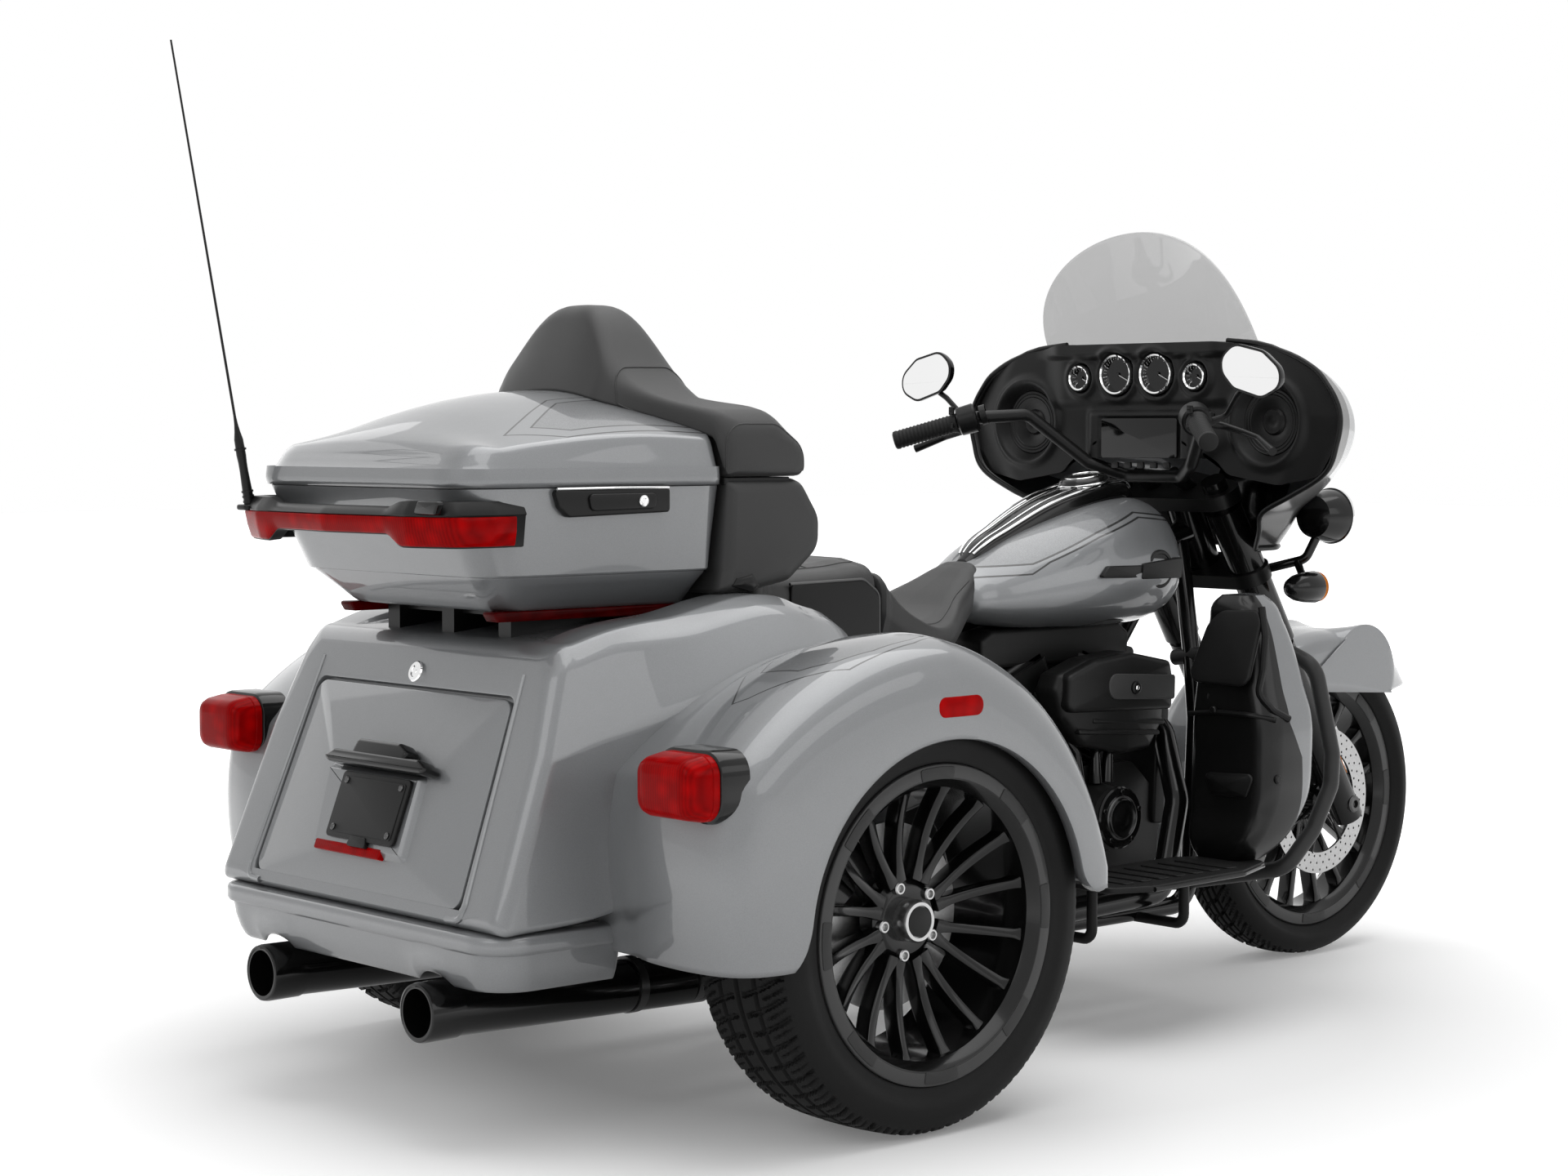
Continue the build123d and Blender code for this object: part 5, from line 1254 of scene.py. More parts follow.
upper = acrossSheet(upperPad, (6, 3, 5, 40, 46, 46, 16))
piece("upperPad", [grid(upper, caps=(True, True))], "vinyl", "top_case_lid",
                "backrest_upper_pad")
share = np.linspace(0, 1, 60)
piece("upperPadSeams", [
    tube(spots(upper, place + lean * np.sin(share * pi), 0.32 + 0.56 * share), 1.5, 8)
    for place, lean in pads["seams"]]
      + [tube(spots(upper, place, 0.3 + 0.62 * share), 1.4, 8) for place in pads["endSeams"]],
      "vinyl", "top_case_lid")
lower = acrossSheet(lowerPad, (4, 8, 34, 44, 44, 30, 10, 6))
piece("lowerPad", [grid(lower, caps=(True, True))], "vinyl", "chassis",
                "backrest_lower_pad")
piece("padStrip", [slab(pads["strip"], 4, (0, 0, 988), *fromAbove, 12.4, 2)], "plastic",
      "chassis")
piece("padVents", bothSides(slab(pads["vent"], 12, (0, -283, 0), *fromRight, 7, 2, 0, 6)),
      "satin", "chassis")

seat = {
    # x, half width, underside, edge of the top, middle of the top
    "rider": ((301, 196, 712, 826, 832), (306, 205, 702, 832, 839), (330, 207, 696, 812, 822),
              (360, 207, 690, 782, 793), (430, 203, 684, 744, 752), (500, 176, 680, 736, 744),
              (560, 136, 690, 752, 762), (600, 108, 702, 772, 786), (640, 86, 728, 790, 808),
              (676, 68, 752, 806, 827), (700, 56, 776, 814, 834), (711, 40, 800, 812, 826)),
    "passenger": ((-20, 180, 786, 822, 832), (-12, 200, 776, 830, 838), (60, 205, 744, 834, 844),
                  (130, 206, 690, 838, 848), (220, 206, 676, 842, 853), (272, 205, 672, 846, 858),
                  (292, 203, 672, 844, 855), (299, 194, 680, 834, 843)),
    "radii": (14, 30, 34, 60, 60, 60, 34, 30, 14),
    # seams along each seat: share of its length from and to; and across it: shares
    "along": ((0.05, 0.86), (0.06, 0.94)), "across": ((0.2, 0.34), (0.3, 0.62)),
    # a plate on each side of the passenger's seat, and a rail round its edge
    "side": ((96, 742), (128, 712), (292, 690), (299, 706), (299, 800), (262, 824), (98, 822)),
    "sideRadii": (10, 10, 10, 10, 34, 12, 8),
    "rail": ((96, -208, 822), (262, -209, 825), (298, -208, 800), (300, -206, 712)),
}


def alongSheet(table):
    x, half, low, edge, top = sampled(table, 70)
    return rounded(sectionRows([(x, share * half, z) for share, z in (
        (-0.9, low), (-1, (low + edge) / 2), (-1, edge - 4), (-0.62, top - 2), (0, top),
        (0.62, top - 2), (1, edge - 4), (1, (low + edge) / 2), (0.9, low))]), seat["radii"], 6)


seams = []
for n, (name, node) in enumerate((("rider", "rider_seat"), ("passenger", "passenger_seat"))):
    sheet = alongSheet(seat[name])
    piece(name + "Seat", [grid(sheet, caps=(True, True))], "vinyl", "chassis",
                    node)
    low, high = seat["along"][n]
    seams += [tube(spots(sheet, low + (high - low) * share, column), 1.4, 8)
              for column in (0.33, 0.67)]
    seams += [tube(spots(sheet, place, 0.33 + 0.34 * share), 1.4, 8)
              for place in seat["across"][n]]
piece("seatSeams", seams, "vinyl", "chassis")
piece("seatSides", bothSides(
    slab(seat["side"], seat["sideRadii"], (0, -201, 0), *fromRight, 9, 3, 3)),
      "plastic", "chassis")
piece("seatRails", bothSides(bar(seat["rail"], 2.6, 26, 10)), "darkSteel", "chassis")
print("pads and seats")

# Fuel tank and its console
tank = {
    # x, half width, underside, top
    "sections": ((634, 30, 752, 790), (650, 66, 738, 806), (700, 98, 722, 832),
                 (760, 128, 712, 864), (900, 166, 704, 916), (1040, 174, 703, 948),
                 (1100, 168, 708, 951), (1140, 150, 722, 943), (1164, 122, 744, 930),
                 (1176, 90, 770, 914), (1180, 52, 800, 892)),
    "console": ((704, 16, 836), (730, 26, 858), (800, 36, 894), (900, 46, 938), (1000, 54, 965),
                (1060, 55, 976), (1100, 54, 972), (1114, 50, 958)),
    # the filler cap: distance along its axis and radius
    "capAt": (1034, 0, 964), "capUp": (-0.2, 0, 1),
    "cap": ((-12, 0), (-12, 48), (14, 48), (20, 45), (23, 40), (24, 30), (25, 0)),
    "capRings": ((72, ((6, 47), (6, 49.5), (13, 49.5), (14, 48), (14, 47))),
                 (64, ((22, 35), (24.6, 35), (25.4, 33.5), (24.6, 32), (22, 32)))),
    # a plain badge: a disc with a blank block across it and a bar that runs back to a point
    "badgeBar": ((893, 804), (1006, 800), (1008, 824), (915, 825)),
    "badgeBlock": ((1001, 798), (1112, 797), (1115, 836), (1005, 827)),
    "badgeDisc": ((-12, 0), (-12, 36), (2, 36), (4, 34), (4, 29), (2.5, 28), (2.5, 0)),
    "badgeAt": (1060, -167, 815),
}


def tankSheet():
    x, half, low, high = sampled(tank["sections"], 90)
    turn = np.linspace(0, 2 * pi, 96, endpoint=False)
    # A superellipse fuller below the middle: |cos|^0.82 across and |sin|^0.86 upwards.
    c, s = np.cos(turn), np.sin(turn)
    wide, tall = np.sign(c) * abs(c)**0.82, np.sign(s) * abs(s)**0.86
    middle = (low + 0.44 * (high - low))[:, None]
    z = middle + np.where(tall > 0, high[:, None] - middle, middle - low[:, None]) * tall
    y = half[:, None] * wide * (1 - 0.10 * np.clip(tall, 0, 1))
    return np.stack([np.broadcast_to(x[:, None], z.shape), y, z], -1)


stripe["tank"] = ((640, 822), (775, 831), (929, 885), (1046, 920), (1158, 909))
stripe["tankLine"] = ((640, 806), (766, 813), (806, 834), (929, 877), (1048, 911), (1158, 901))
stripe["tankLow"] = ((926, 704), (972, 721), (1073, 722), (1146, 752))


def tankLines(w):
    # The nearer of a line below the panel and one low on the side that starts half way.
    start = w.xyz()[0] < (stripe["tankLow"][0][0] + axleX) * 0.001
    return abs(bent(w, stripe["tankLine"])).below(abs(bent(w, stripe["tankLow"])) + start)


looks["tank"] = material("silverTank", lambda w: silver(
    w, lambda v: bent(v, stripe["tank"]) * -1, tankLines))
piece("fuelTank", [grid(tankSheet(), caps=(True, True))], "tank", "chassis",
      "fuel_tank")


def consoleAt(x):
    # Half width and height of the console's top edge.
    keys, half, top = np.array(tank["console"], float).T
    return smooth(keys, half, x), smooth(keys, top, x)


def consoleSheet():
    x = np.linspace(tank["console"][0][0], tank["console"][-1][0], 60)
    half, top = consoleAt(x)
    foot = top - 34 - 30 * ease(x, 1080, 1114)
    return rounded(sectionRows([(x, share * half, z) for share, z in (
        (-1.1, foot), (-1, top - 4), (-0.5, top + 2), (0, top + 3), (0.5, top + 2),
        (1, top - 4), (1.1, foot))]), (8, 10, 40, 40, 40, 10, 8), 5)


piece("tankConsole", [grid(consoleSheet(), caps=(True, True))], "gloss", "chassis",
      "tank_console")
x = np.linspace(716, 1108, 50)
half, top = consoleAt(x)
edges = [np.stack([x, side * (half - 3), top + 1.5], -1) for side in (-1, 1)]
piece("consoleTrim", [tube(line, 2.4, 10) for line in edges]
      + [tube(line * (1, 0.45, 1) + (0, 0, 1.6), 1.6, 10) for line in edges],
      "chrome", "chassis")
piece("fuelCap", [turned(tank["cap"], tank["capAt"], tank["capUp"], 72)], "gloss", "chassis")
piece("fuelCapRing", [turned(ring, tank["capAt"], tank["capUp"], steps, loop=True)
                      for steps, ring in tank["capRings"]], "chrome", "chassis")
piece("tankBadge", bothSides(
    slab(tank["badgeBar"], 3, (0, -164, 0), *fromRight, 10.5, 1.4, 4),
    slab(tank["badgeBlock"], 4, (0, -160, 0), *fromRight, 17, 1.6, 4),
    turned(tank["badgeDisc"], tank["badgeAt"], toRight, 56)), "satin", "chassis")
print("tank")

fairing = {
    # height, and the half outline from the rear corner to the nose
    "levels": ((848, (1300, 200), (1380, 186), (1470, 120), (1512, 0)),
               (884, (1258, 243), (1376, 218), (1488, 136), (1548, 0)),
               (920, (1222, 281), (1370, 248), (1500, 152), (1576, 0)),
               (952, (1209, 356), (1370, 294), (1512, 170), (1585, 0)),
               (985, (1206, 424), (1370, 331), (1520, 186), (1588, 0)),
               (1050, (1206, 464), (1372, 375), (1522, 204), (1582, 0)),
               (1112, (1206, 468), (1360, 382), (1506, 204), (1563, 0)),
               (1156, (1206, 442), (1346, 362), (1486, 192), (1538, 0)),
               (1190, (1206, 406), (1326, 328), (1458, 174), (1504, 0)),
               (1222, (1206, 330), (1304, 262), (1416, 142), (1458, 0)),
               (1238, (1206, 262), (1284, 206), (1374, 110), (1412, 0)),
               (1243, (1206, 205), (1262, 160), (1330, 84), (1360, 0))),
    "wall": 5, "dash": 1200, "rim": 5,
}


def fairingRows():
    keys = [row[0] for row in fairing["levels"]]
    whole = wholeLine([row[1:] for row in fairing["levels"]])
    z = np.unique(np.concatenate([np.linspace(keys[0], keys[-1], 56), keys]))
    lines = rounded(smooth(keys, whole, z), 130, 8, closed=False)
    return np.array([np.insert(evenly(line, 150), 2, h, 1) for line, h in zip(lines, z)])


outerRows = fairingRows()
looks["fairing"] = material("fairingPaint", skinned(
    lambda z: ((0.985 - z) * 2.4).above(0) + (1.298 + axleX * 0.001), 0.3))
piece("fairingOuter", [grid(outerRows, around=False)], "fairing", "front_fork",
      "fairing_outer", wall=fairing["wall"], sharp=50)
# A black rim along the fairing's rear edges and lower lip.
piece("fairingRim", [tube(line, fairing["rim"], 12) for line in (
    outerRows[:, 0] + rearward, outerRows[:, -1] + rearward, outerRows[0] + (0, 0, -1))],
      "satin", "front_fork", sharp=60)

dash = {
    # the half of the outline on the right, from its foot up
    "outline": ((-180, 1020), (-212, 990), (-330, 972), (-420, 988), (-461, 1050), (-465, 1112),
                (-436, 1160), (-396, 1194), (-310, 1228), (-200, 1241)),
    "speaker": (306, 1090, 74), "screen": (97, 1020, 1097, 6),
    "dials": ((-147, 1176, 27), (-51, 1182, 41), (51, 1182, 41), (147, 1176, 27)),
    "middle": (0, 1110), "rows": 56,
}


def dashDepth(y, z):
    # How far the dash stands out to the rear: a pod round the dials, a hooded top edge, a
    # frame round the screen, and a bowl at each speaker.
    a = abs(y)
    pod = 15 * (1 - ease(a, 190, 262)) * ease(z, 1112, 1136)
    brow = 17 * (1 - ease(a, 196, 290)) * ease(z, 1208, 1224)
    centre = 12 * (1 - ease(a, 122, 150)) * (1 - ease(z, 1100, 1126)) * ease(z, 1000, 1014)
    well = 5 * (1 - ease(a, dash["screen"][0] + 2, dash["screen"][0] + 10)) * (
        ease(z, 1012, 1020) * (1 - ease(z, 1097, 1105)))
    y0, z0, r = dash["speaker"]
    far = np.hypot(a - y0, z - z0)
    ring = 9 * hump(far, r + 9, 9)
    bowl = 24 * (1 - ease(far, r - 22, r + 4))
    rim = -14 * ease(a + 0.55 * abs(z - 1100), 400, 480)
    sounder = sum(7 * hump(np.hypot(y - dy, z - dz), dr + 8, 7) for dy, dz, dr in dash["dials"])
    cup = sum(16 * (1 - ease(np.hypot(y - dy, z - dz), dr - 2, dr + 3))
              for dy, dz, dr in dash["dials"])
    return pod + brow + centre - well + ring - bowl + rim + sounder - cup


def dashSheet():
    # The outline shrunk towards the middle in even steps.
    half = np.array(dash["outline"], float)
    loop = evenly(rounded(np.concatenate([half, half[::-1] * (-1, 1)]), 34, 6), 420, closed=True)
    middle = np.array(dash["middle"], float)
    share = np.linspace(1, 0, dash["rows"] * 2)[:, None, None]
    plane = middle + (loop - middle) * share
    x = fairing["dash"] - dashDepth(plane[..., 0], plane[..., 1])
    front = np.insert(loop, 0, fairing["dash"] + 10, 1)
    sheet = np.concatenate([x[..., None], plane], -1)
    return np.concatenate([front[None], sheet])


piece("fairingInner", [grid(dashSheet())], "plastic", "front_fork",
      "fairing_inner", sharp=70)
rings, faces, marks = [], [], []


def needle(centre, out, start, end, angle, radius):
    # A thin rod on a dial, from one distance to another from its middle.
    run = [centre + (-out, r * cos(angle), r * sin(angle)) for r in (start, end)]
    return tube(run, radius, 6)


for dy, dz, dr in dash["dials"]:
    centre = np.array((fairing["dash"] - 14, dy, dz))
    rings.append(turned([(-4, dr - 1), (10, dr - 1), (13, dr - 3), (11, dr - 6), (2, dr - 7),
                         (-4, dr - 7)], centre, rearward, 64, loop=True))
    faces.append(turned([(1, 0), (1, dr - 5)], centre, rearward, 64))
    ticks = 25 if dr > 30 else 13
    for n in range(ticks):
        depth, thick = (13, 0.75) if n % 3 == 0 else (10, 0.5)
        marks.append(needle(centre, 1.6, dr - depth, dr - 8,
                            radians(-40 + 260 * n / (ticks - 1)), thick))
    marks.append(needle(centre, 3, 0, dr - 12, radians(205), 0.9))
    faces.append(turned([(1, 0), (1, 4), (4, 4), (5, 3), (5, 0)], centre, rearward, 24))
piece("dialRings", rings, "chrome", "front_fork")
piece("dialFaces", faces, "screen", "front_fork")
piece("dialMarks", marks, "dial", "front_fork")
sw, low, high, corner = dash["screen"]
piece("screen", [slab(box(-sw, low, sw, high), corner, (fairing["dash"] - 9, 0, 0),
                      *fromBehind, 4, 1)], "screen", "front_fork")
grilles = []
y0, z0, r = dash["speaker"]
for side in (-1, 1):
    centre = np.array((fairing["dash"] + 22, side * y0, z0))
    grilles.append(turned([(0, 0), (6, 10), (6, 22), (2, 26), (9, 44), (9, 62), (2, 72)],
                          centre, rearward, 72))
    grilles += [turned([(8, q - 2), (10, q), (8, q + 2)], centre, rearward, 72)
                for q in (50, 56, 62)]
piece("speakers", grilles, "satin", "front_fork")
piece("dashButtons", [slab([(y - 9, 1000), (y + 9, 1000), (y + 8, 1012), (y - 8, 1012)], 3,
                           (fairing["dash"] - 2, 0, 0), *fromBehind, 6, 1.5)
                      for y in (-66, -33, 0, 33, 66)], "satin", "front_fork")

windshield = {"half": 268, "low": 1222, "high": 1454, "lean": 30, "bulge": 110,
              "x": 1306, "z": 1236, "wide": 300}


def screenSheet():
    # A superellipse in outline, |across|^2 + |up|^2.2 = 1, on a bulge that leans back.
    u = np.sin(np.linspace(-pi / 2, pi / 2, 100)) * 0.9995
    v = np.linspace(0, 1, 40)[:, None]
    rise = windshield["high"] - windshield["low"]
    z = windshield["low"] + rise * v * (1 - abs(u)**2)**(1 / 2.2)
    y = windshield["half"] * u
    x = (windshield["x"] - windshield["bulge"] * (y / windshield["wide"])**2
         - (z - windshield["z"]) * tan(radians(windshield["lean"])))
    return np.stack([x, np.broadcast_to(y, z.shape), z], -1)


screenRows = screenSheet()
piece("windshield", [grid(screenRows, around=False)], "smoked", "front_fork",
      "windshield", wall=4, sharp=60, offset=0)
piece("windshieldTrim", [tube(screenRows[1] + (-3, 0, 2), 5, 12)], "satin",
      "front_fork")
lip = screenRows[2, 4:-4] + (-8, 0, -2)
piece("dashHood", [grid(np.array([lip + (30, 0, -14), lip + (0, 0, 6), lip + (-10, 0, 4),
                                  lip + (-14, 0, -2), lip + (-8, 0, -8), lip + (24, 0, -20)]),
                        around=False, along=True)], "plastic", "front_fork",
      sharp=50)

mirror = {
    "at": (1018, 414, 1180), "lean": -0.45, "corner": 34,
    "outline": ((-74, -6), (-58, 30), (10, 46), (62, 34), (76, 2), (46, -34), (-22, -46),
                (-60, -32)),
    # the shell from its rim forward: distance ahead and how far in
    "shell": ((0, 4), (0, 0), (5, 0), (14, 3), (22, 14), (26, 28), (27.5, 40)),
    "glass": (-0.8, 4.5),
}
for side, tag, low in twoSides:
    lean, (x, y, z) = mirror["lean"] * side, mirror["at"]
    loop = rounded(mirror["outline"], mirror["corner"], 5) * (side, 1)
    loop = loop @ np.array([[cos(lean), sin(lean)], [-sin(lean), cos(lean)]])
    piece("mirror" + tag, [grid(stacked(loop, mirror["shell"], x, y * side, z),
                                caps=(True, True))], "gloss", "front_fork",
          "mirrors" if side < 0 else ())
    face = stacked(loop, [mirror["glass"]], x, y * side, z)[0]
    piece("mirrorGlass" + tag, [(face, [list(range(len(loop)))])], "mirror",
          "front_fork", recalculate=False)
print("fairing")

# x, y, z and radius of the headlamp and of the two lamps beside it
lampSpots = {
    "head": (1596, 0, 962, 88), "side": (1526, 208, 906, 50),
    # the bar that carries them, and the turn lamps on their arms
    "bar": ((1484, -205, 872), (1470, -186, 822), (1436, -110, 800), (1436, 110, 800),
            (1470, 186, 822), (1484, 205, 872)),
    "arm": ((1462, -172, 816), (1410, -236, 772)), "turnAt": (1352, -236, 771),
    "turn": ((0, 0), (2, 9), (10, 18), (26, 25), (48, 29), (78, 31), (84, 29), (84, 0)),
    "lens": ((80, 0), (80, 30), (90, 29), (98, 20), (101, 0)),
}
buckets, glasses, rings, bowls = [], [], [], []
for y in (0, -1, 1):
    x, far, z, r = lampSpots["head" if y == 0 else "side"]
    centre = np.array((x, y * far, z), float)
    deep = 96 if y == 0 else 72
    buckets.append(turned([(-deep, 0), (-deep, r * 0.5), (-deep + 10, r * 0.82), (-30, r),
                           (-6, r + 3), (-1, r + 3), (0, r), (-3, r - 3), (-20, r - 5),
                           (-24, 0)], centre, forward, 72))
    rings.append(turned([(-7, r + 1), (-7, r + 5), (-1, r + 5), (2, r + 2), (1, r - 2),
                         (-4, r - 3)], centre, forward, 80, loop=True))
    bowls.append(turned([(-22, 0), (-22, r * 0.5), (-8, r - 6)], centre, forward, 64))
    glasses.append(turned([(-4, r - 3), (2, r * 0.8), (5, r * 0.45), (6, 0)], centre,
                          forward, 64))
piece("lampBuckets", [*buckets, bar(lampSpots["bar"], 9, 24, 16), *bothSides(
    bar(lampSpots["arm"], 8, 10, 12),
    turned(lampSpots["turn"], lampSpots["turnAt"], forward, 48))],
      "gloss", "front_fork", ("headlamp", "front_lamps"))
piece("lampRings", rings, "chrome", "front_fork")
piece("lampBowls", bowls, "mirror", "front_fork")
piece("lampGlass", glasses, "clear", "front_fork")
piece("turnLenses", bothSides(turned(lampSpots["lens"], lampSpots["turnAt"], forward, 40)),
      "amber", "front_fork")
print("lamps")

# Lamps and reflectors on the fenders
tail = {
    "centre": (604, 570), "rear": -504, "half": (66, 47), "corner": 30,
    # from front to rear: distance ahead of the rear face and how far in
    "lens": ((100, -2), (44, -1), (42.5, 0.6), (41, -1), (14, 4), (5, 9), (1, 16), (-0.5, 28)),
    "bezel": ((106, -6), (62, -6.5), (56, -5), (54, -1)),
    "reflector": box(-42, 645, 54, 677),
}
hw, hh = tail["half"]
loop = rounded(box(-hw, -hh, hw, hh), tail["corner"], 8)
for side, tag, low in twoSides:
    y, z = tail["centre"][0] * side, tail["centre"][1]
    lens, bezel = (grid(stacked(loop, tail[rows], tail["rear"], y, z), caps=(True, True))
                   for rows in ("lens", "bezel"))
    piece("tailLamp" + tag, [lens], "red", "chassis", f"tail_lamp_{low}")
    piece("tailLampBezel" + tag, [bezel], "gloss", "chassis")
    piece("sideReflector" + tag, onSide(side, slab(
        tail["reflector"], 15, (0, -688, 0), *fromRight, 8, 2.5, 8)), "red", "chassis",
          f"side_reflector_{low}")

# Lower fairings with their lids, the guard and the footboards
lowers = {
    # height, rear x, front x, inner y, outer y, corner radius
    "sections": ((286, 1050, 1150, 266, 368, 24), (300, 1044, 1160, 258, 384, 28),
                 (380, 1056, 1206, 240, 422, 36), (480, 1064, 1224, 235, 427, 42),
                 (560, 1068, 1227, 234, 420, 42), (600, 1073, 1226, 236, 406, 40),
                 (640, 1076, 1222, 240, 396, 40), (720, 1088, 1206, 254, 372, 36),
                 (758, 1094, 1198, 262, 352, 32), (770, 1104, 1188, 274, 340, 24)),
    "lid": ((240, 608), (384, 606), (394, 724), (383, 746), (298, 742), (270, 716)),
    "lidCorners": (22, 26, 18, 20, 34, 40), "lidAt": (1065, -320, 624), "lidStretch": 1.02,
    # a slot low on the rear face; cords of trim: radius and line; bolts: place, axis, two radii
    "slot": ((-40, 0), (42, 2), (62, 48), (-58, 42)), "slotAt": (1062, -338, 402),
    "cords": ((7, ((1088, -388, 752), (1082, -402, 700), (1074, -404, 640), (1070, -396, 596),
                   (1090, -414, 566), (1124, -424, 548))),
              (5, ((1066, -236, 548), (1064, -300, 556), (1064, -380, 556),
                   (1090, -422, 548)))),
    "bolts": (((1091, -424, 440), toRight, 9, 6), ((1120, -412, 372), toRight, 9, 6),
              ((1062, -300, 560), rearward, 7, 5)),
}
lidUp = unit((34, 0, 146))


def lowerSheet():
    z, rear, front, inner, outer, corner = sampled(lowers["sections"], 60)
    corners = sectionRows([(x, y, z) for x, y in (
        (rear, -inner), (rear, -outer), (front - 26, -outer), (front, -outer + 60),
        (front, -inner))])
    return np.array([rounded(c, (r * 0.6, r, 30, 40, r), 6) for c, r in zip(corners, corner)])


looks["lower"] = material("lowerFairing", skinned(
    lambda z: ((0.54 - z) * 0.5).above(0).below(0.032) + (1.128 + axleX * 0.001), 0.3))
lowerShape = grid(lowerSheet(), caps=(True, True))
lidLoop = [(y + lowers["lidAt"][1], (z - lowers["lidAt"][2]) * lowers["lidStretch"])
           for y, z in lowers["lid"]]
for side, tag, low in twoSides:
    piece("lowerFairing" + tag, onSide(side, lowerShape), "lower", "chassis",
          f"lower_fairing_{low}")
    piece("lowerLid" + tag, onSide(side, slab(lidLoop, lowers["lidCorners"], lowers["lidAt"],
                                              toRight, lidUp, 11, 4, 7, 3)),
          "plastic", f"lower_lid_{low}", f"lower_fairing_lid_{low}")
    piece("lowerDetails" + tag, onSide(
        side, slab(lowers["slot"], (10, 8, 10, 10), lowers["slotAt"], *fromBehind, 7, 3, 6, 11),
        *[bar(cord, radius, 24, 10) for radius, cord in lowers["cords"]],
        *[turned([(0, 0), (0, wide), (4, wide), (6, top), (6, 0)], spot, axis, 20)
          for spot, axis, wide, top in lowers["bolts"]]), "satin", "chassis")
guard = {"radius": 15, "bend": 44, "line": (
    (1230, -60, 634), (1230, -98, 640), (1246, -300, 668), (1250, -384, 636), (1287, -397, 470),
    (1284, -397, 412), (1240, -390, 330), (1184, -372, 262), (1164, -146, 214),
    (1164, -100, 206))}
piece("engineGuard", bothSides(bar(guard["line"], guard["radius"], guard["bend"], 20, 9)),
      "lightGrey", "chassis", "engine_guard")
board = {
    "outline": ((690, -246), (1010, -246), (1100, -300), (1100, -392), (980, -440), (720, -452),
                (640, -420), (650, -300)), "corner": 26, "z": 276,
    "ribs": range(690, 1010, 46), "brackets": (760, 1010),
}
ribs = [slab(box(x, -416, x + 26, -286), 6, (0, 0, board["z"] + 10), *fromAbove, 4, 1.5)
        for x in board["ribs"]]
brackets = [bar([(x, -150, 165), (x, -275, 165), (x, -275, 278)], 10, 20, 12)
            for x in board["brackets"]]
for side, tag, low in twoSides:
    piece("footboard" + tag, onSide(
        side, slab(board["outline"], board["corner"], (0, 0, board["z"]), *fromAbove, 11, 3, 6),
        *ribs, *brackets), "plastic", "chassis", f"footboard_{low}")
edge = drawnIn(rounded(board["outline"], board["corner"], 8), -0.5)[:46]
piece("boardEdges", bothSides(tube(np.insert(edge, 2, board["z"] + 4, 1), 4.5, 10)), "gloss",
      "chassis")
print("lower fairings and boards")

# Engine dress: intake cover, side covers, rocker covers, pushrod tubes and exhaust tips
intake = {
    "outline": ((793, 600), (812, 548), (866, 492), (987, 472), (1054, 476), (1092, 528),
                (1100, 600), (1094, 642), (985, 664), (886, 655), (809, 630)),
    "radii": (20, 30, 40, 20, 14, 14, 14, 14, 60, 50, 16), "y": -92, "depth": 64,
    # a raised face, ribs under it by the ends of their lower edges, an insert, the neck, a bolt
    "face": ((806, 560), (1096, 550), (1098, 610), (1090, 642), (985, 662), (888, 653),
             (812, 628)),
    "faceRadii": (20, 10, 14, 12, 60, 50, 16),
    "ribs": ((884, 536, 1082, 522), (846, 518, 1068, 503)), "ribHigh": 9,
    "insert": ((909, 580), (1092, 570), (1093, 616), (909, 628)), "insertRadii": (23, 6, 6, 23),
    "neck": ((0, 0), (0, 44), (80, 44), (80, 0)), "neckAt": (890, -20, 590),
    "bolt": ((0, 0), (0, 12), (5, 12), (7, 9), (7, 6.5), (3, 5.5), (3, 0)),
    "key": ((0, 0), (0, 4.5), (5, 4.5), (6, 3), (6, 0)), "boltAt": (980, 598),
}


def intakePlate(outline, radii, out, *form):
    # A plate of the intake cover whose inner face is a distance out from the cover's back.
    return slab(outline, radii, (0, intake["y"] - out, 0), *fromRight, *form)


ribHigh, (boltX, boltZ) = intake["ribHigh"], intake["boltAt"]
piece("airCleaner", [
    intakePlate(intake["outline"], intake["radii"], 0, intake["depth"], 16, 8, 10),
    intakePlate(intake["face"], intake["faceRadii"], 40, 40, 9, 8, 6),
    *[intakePlate([(x0, z0), (x1, z1), (x1, z1 + ribHigh), (x0, z0 + ribHigh)], 4, 54, 18, 3)
      for x0, z0, x1, z1 in intake["ribs"]],
    turned(intake["neck"], intake["neckAt"], toRight, 40)],
      "engine", "chassis", "air_cleaner")
piece("airInsert", [intakePlate(intake["insert"], intake["insertRadii"], 83, 5, 2, 8)],
      "insert", "chassis")
piece("airBolt", [turned(intake["bolt"], (boltX, intake["y"] - 87, boltZ), toRight, 36)],
      "satin", "chassis")
piece("airBoltKey", [turned(intake["key"], (boltX, intake["y"] - 89, boltZ), toRight, 24)],
      "chrome", "chassis")

timing = {
    "at": (946, -172, 358), "ring": ((4, 37), (4, 41), (8.5, 41), (9.5, 39), (8.5, 37)),
    "cover": ((-2, 0), (-2, 58), (2, 58), (5, 55), (5, 42), (8, 40), (10, 36), (8, 33), (7, 22),
              (8, 18), (8, 0)),
    "bolt": ((0, 0), (0, 5), (4, 5), (5, 3.5), (5, 0)), "bolts": 5, "circle": 49, "turn": 0.3,
}
piece("timingCover", [
    turned(timing["cover"], timing["at"], toRight, 72),
    *[turned(timing["bolt"], np.array((timing["circle"] * cos(a), -4, timing["circle"] * sin(a)))
             + timing["at"], toRight, 12)
      for a in np.arange(timing["bolts"]) * 2 * pi / timing["bolts"] + timing["turn"]]],
      "gloss", "chassis")
piece("timingRing", [turned(timing["ring"], timing["at"], toRight, 72, loop=True)],
      "darkSteel", "chassis")

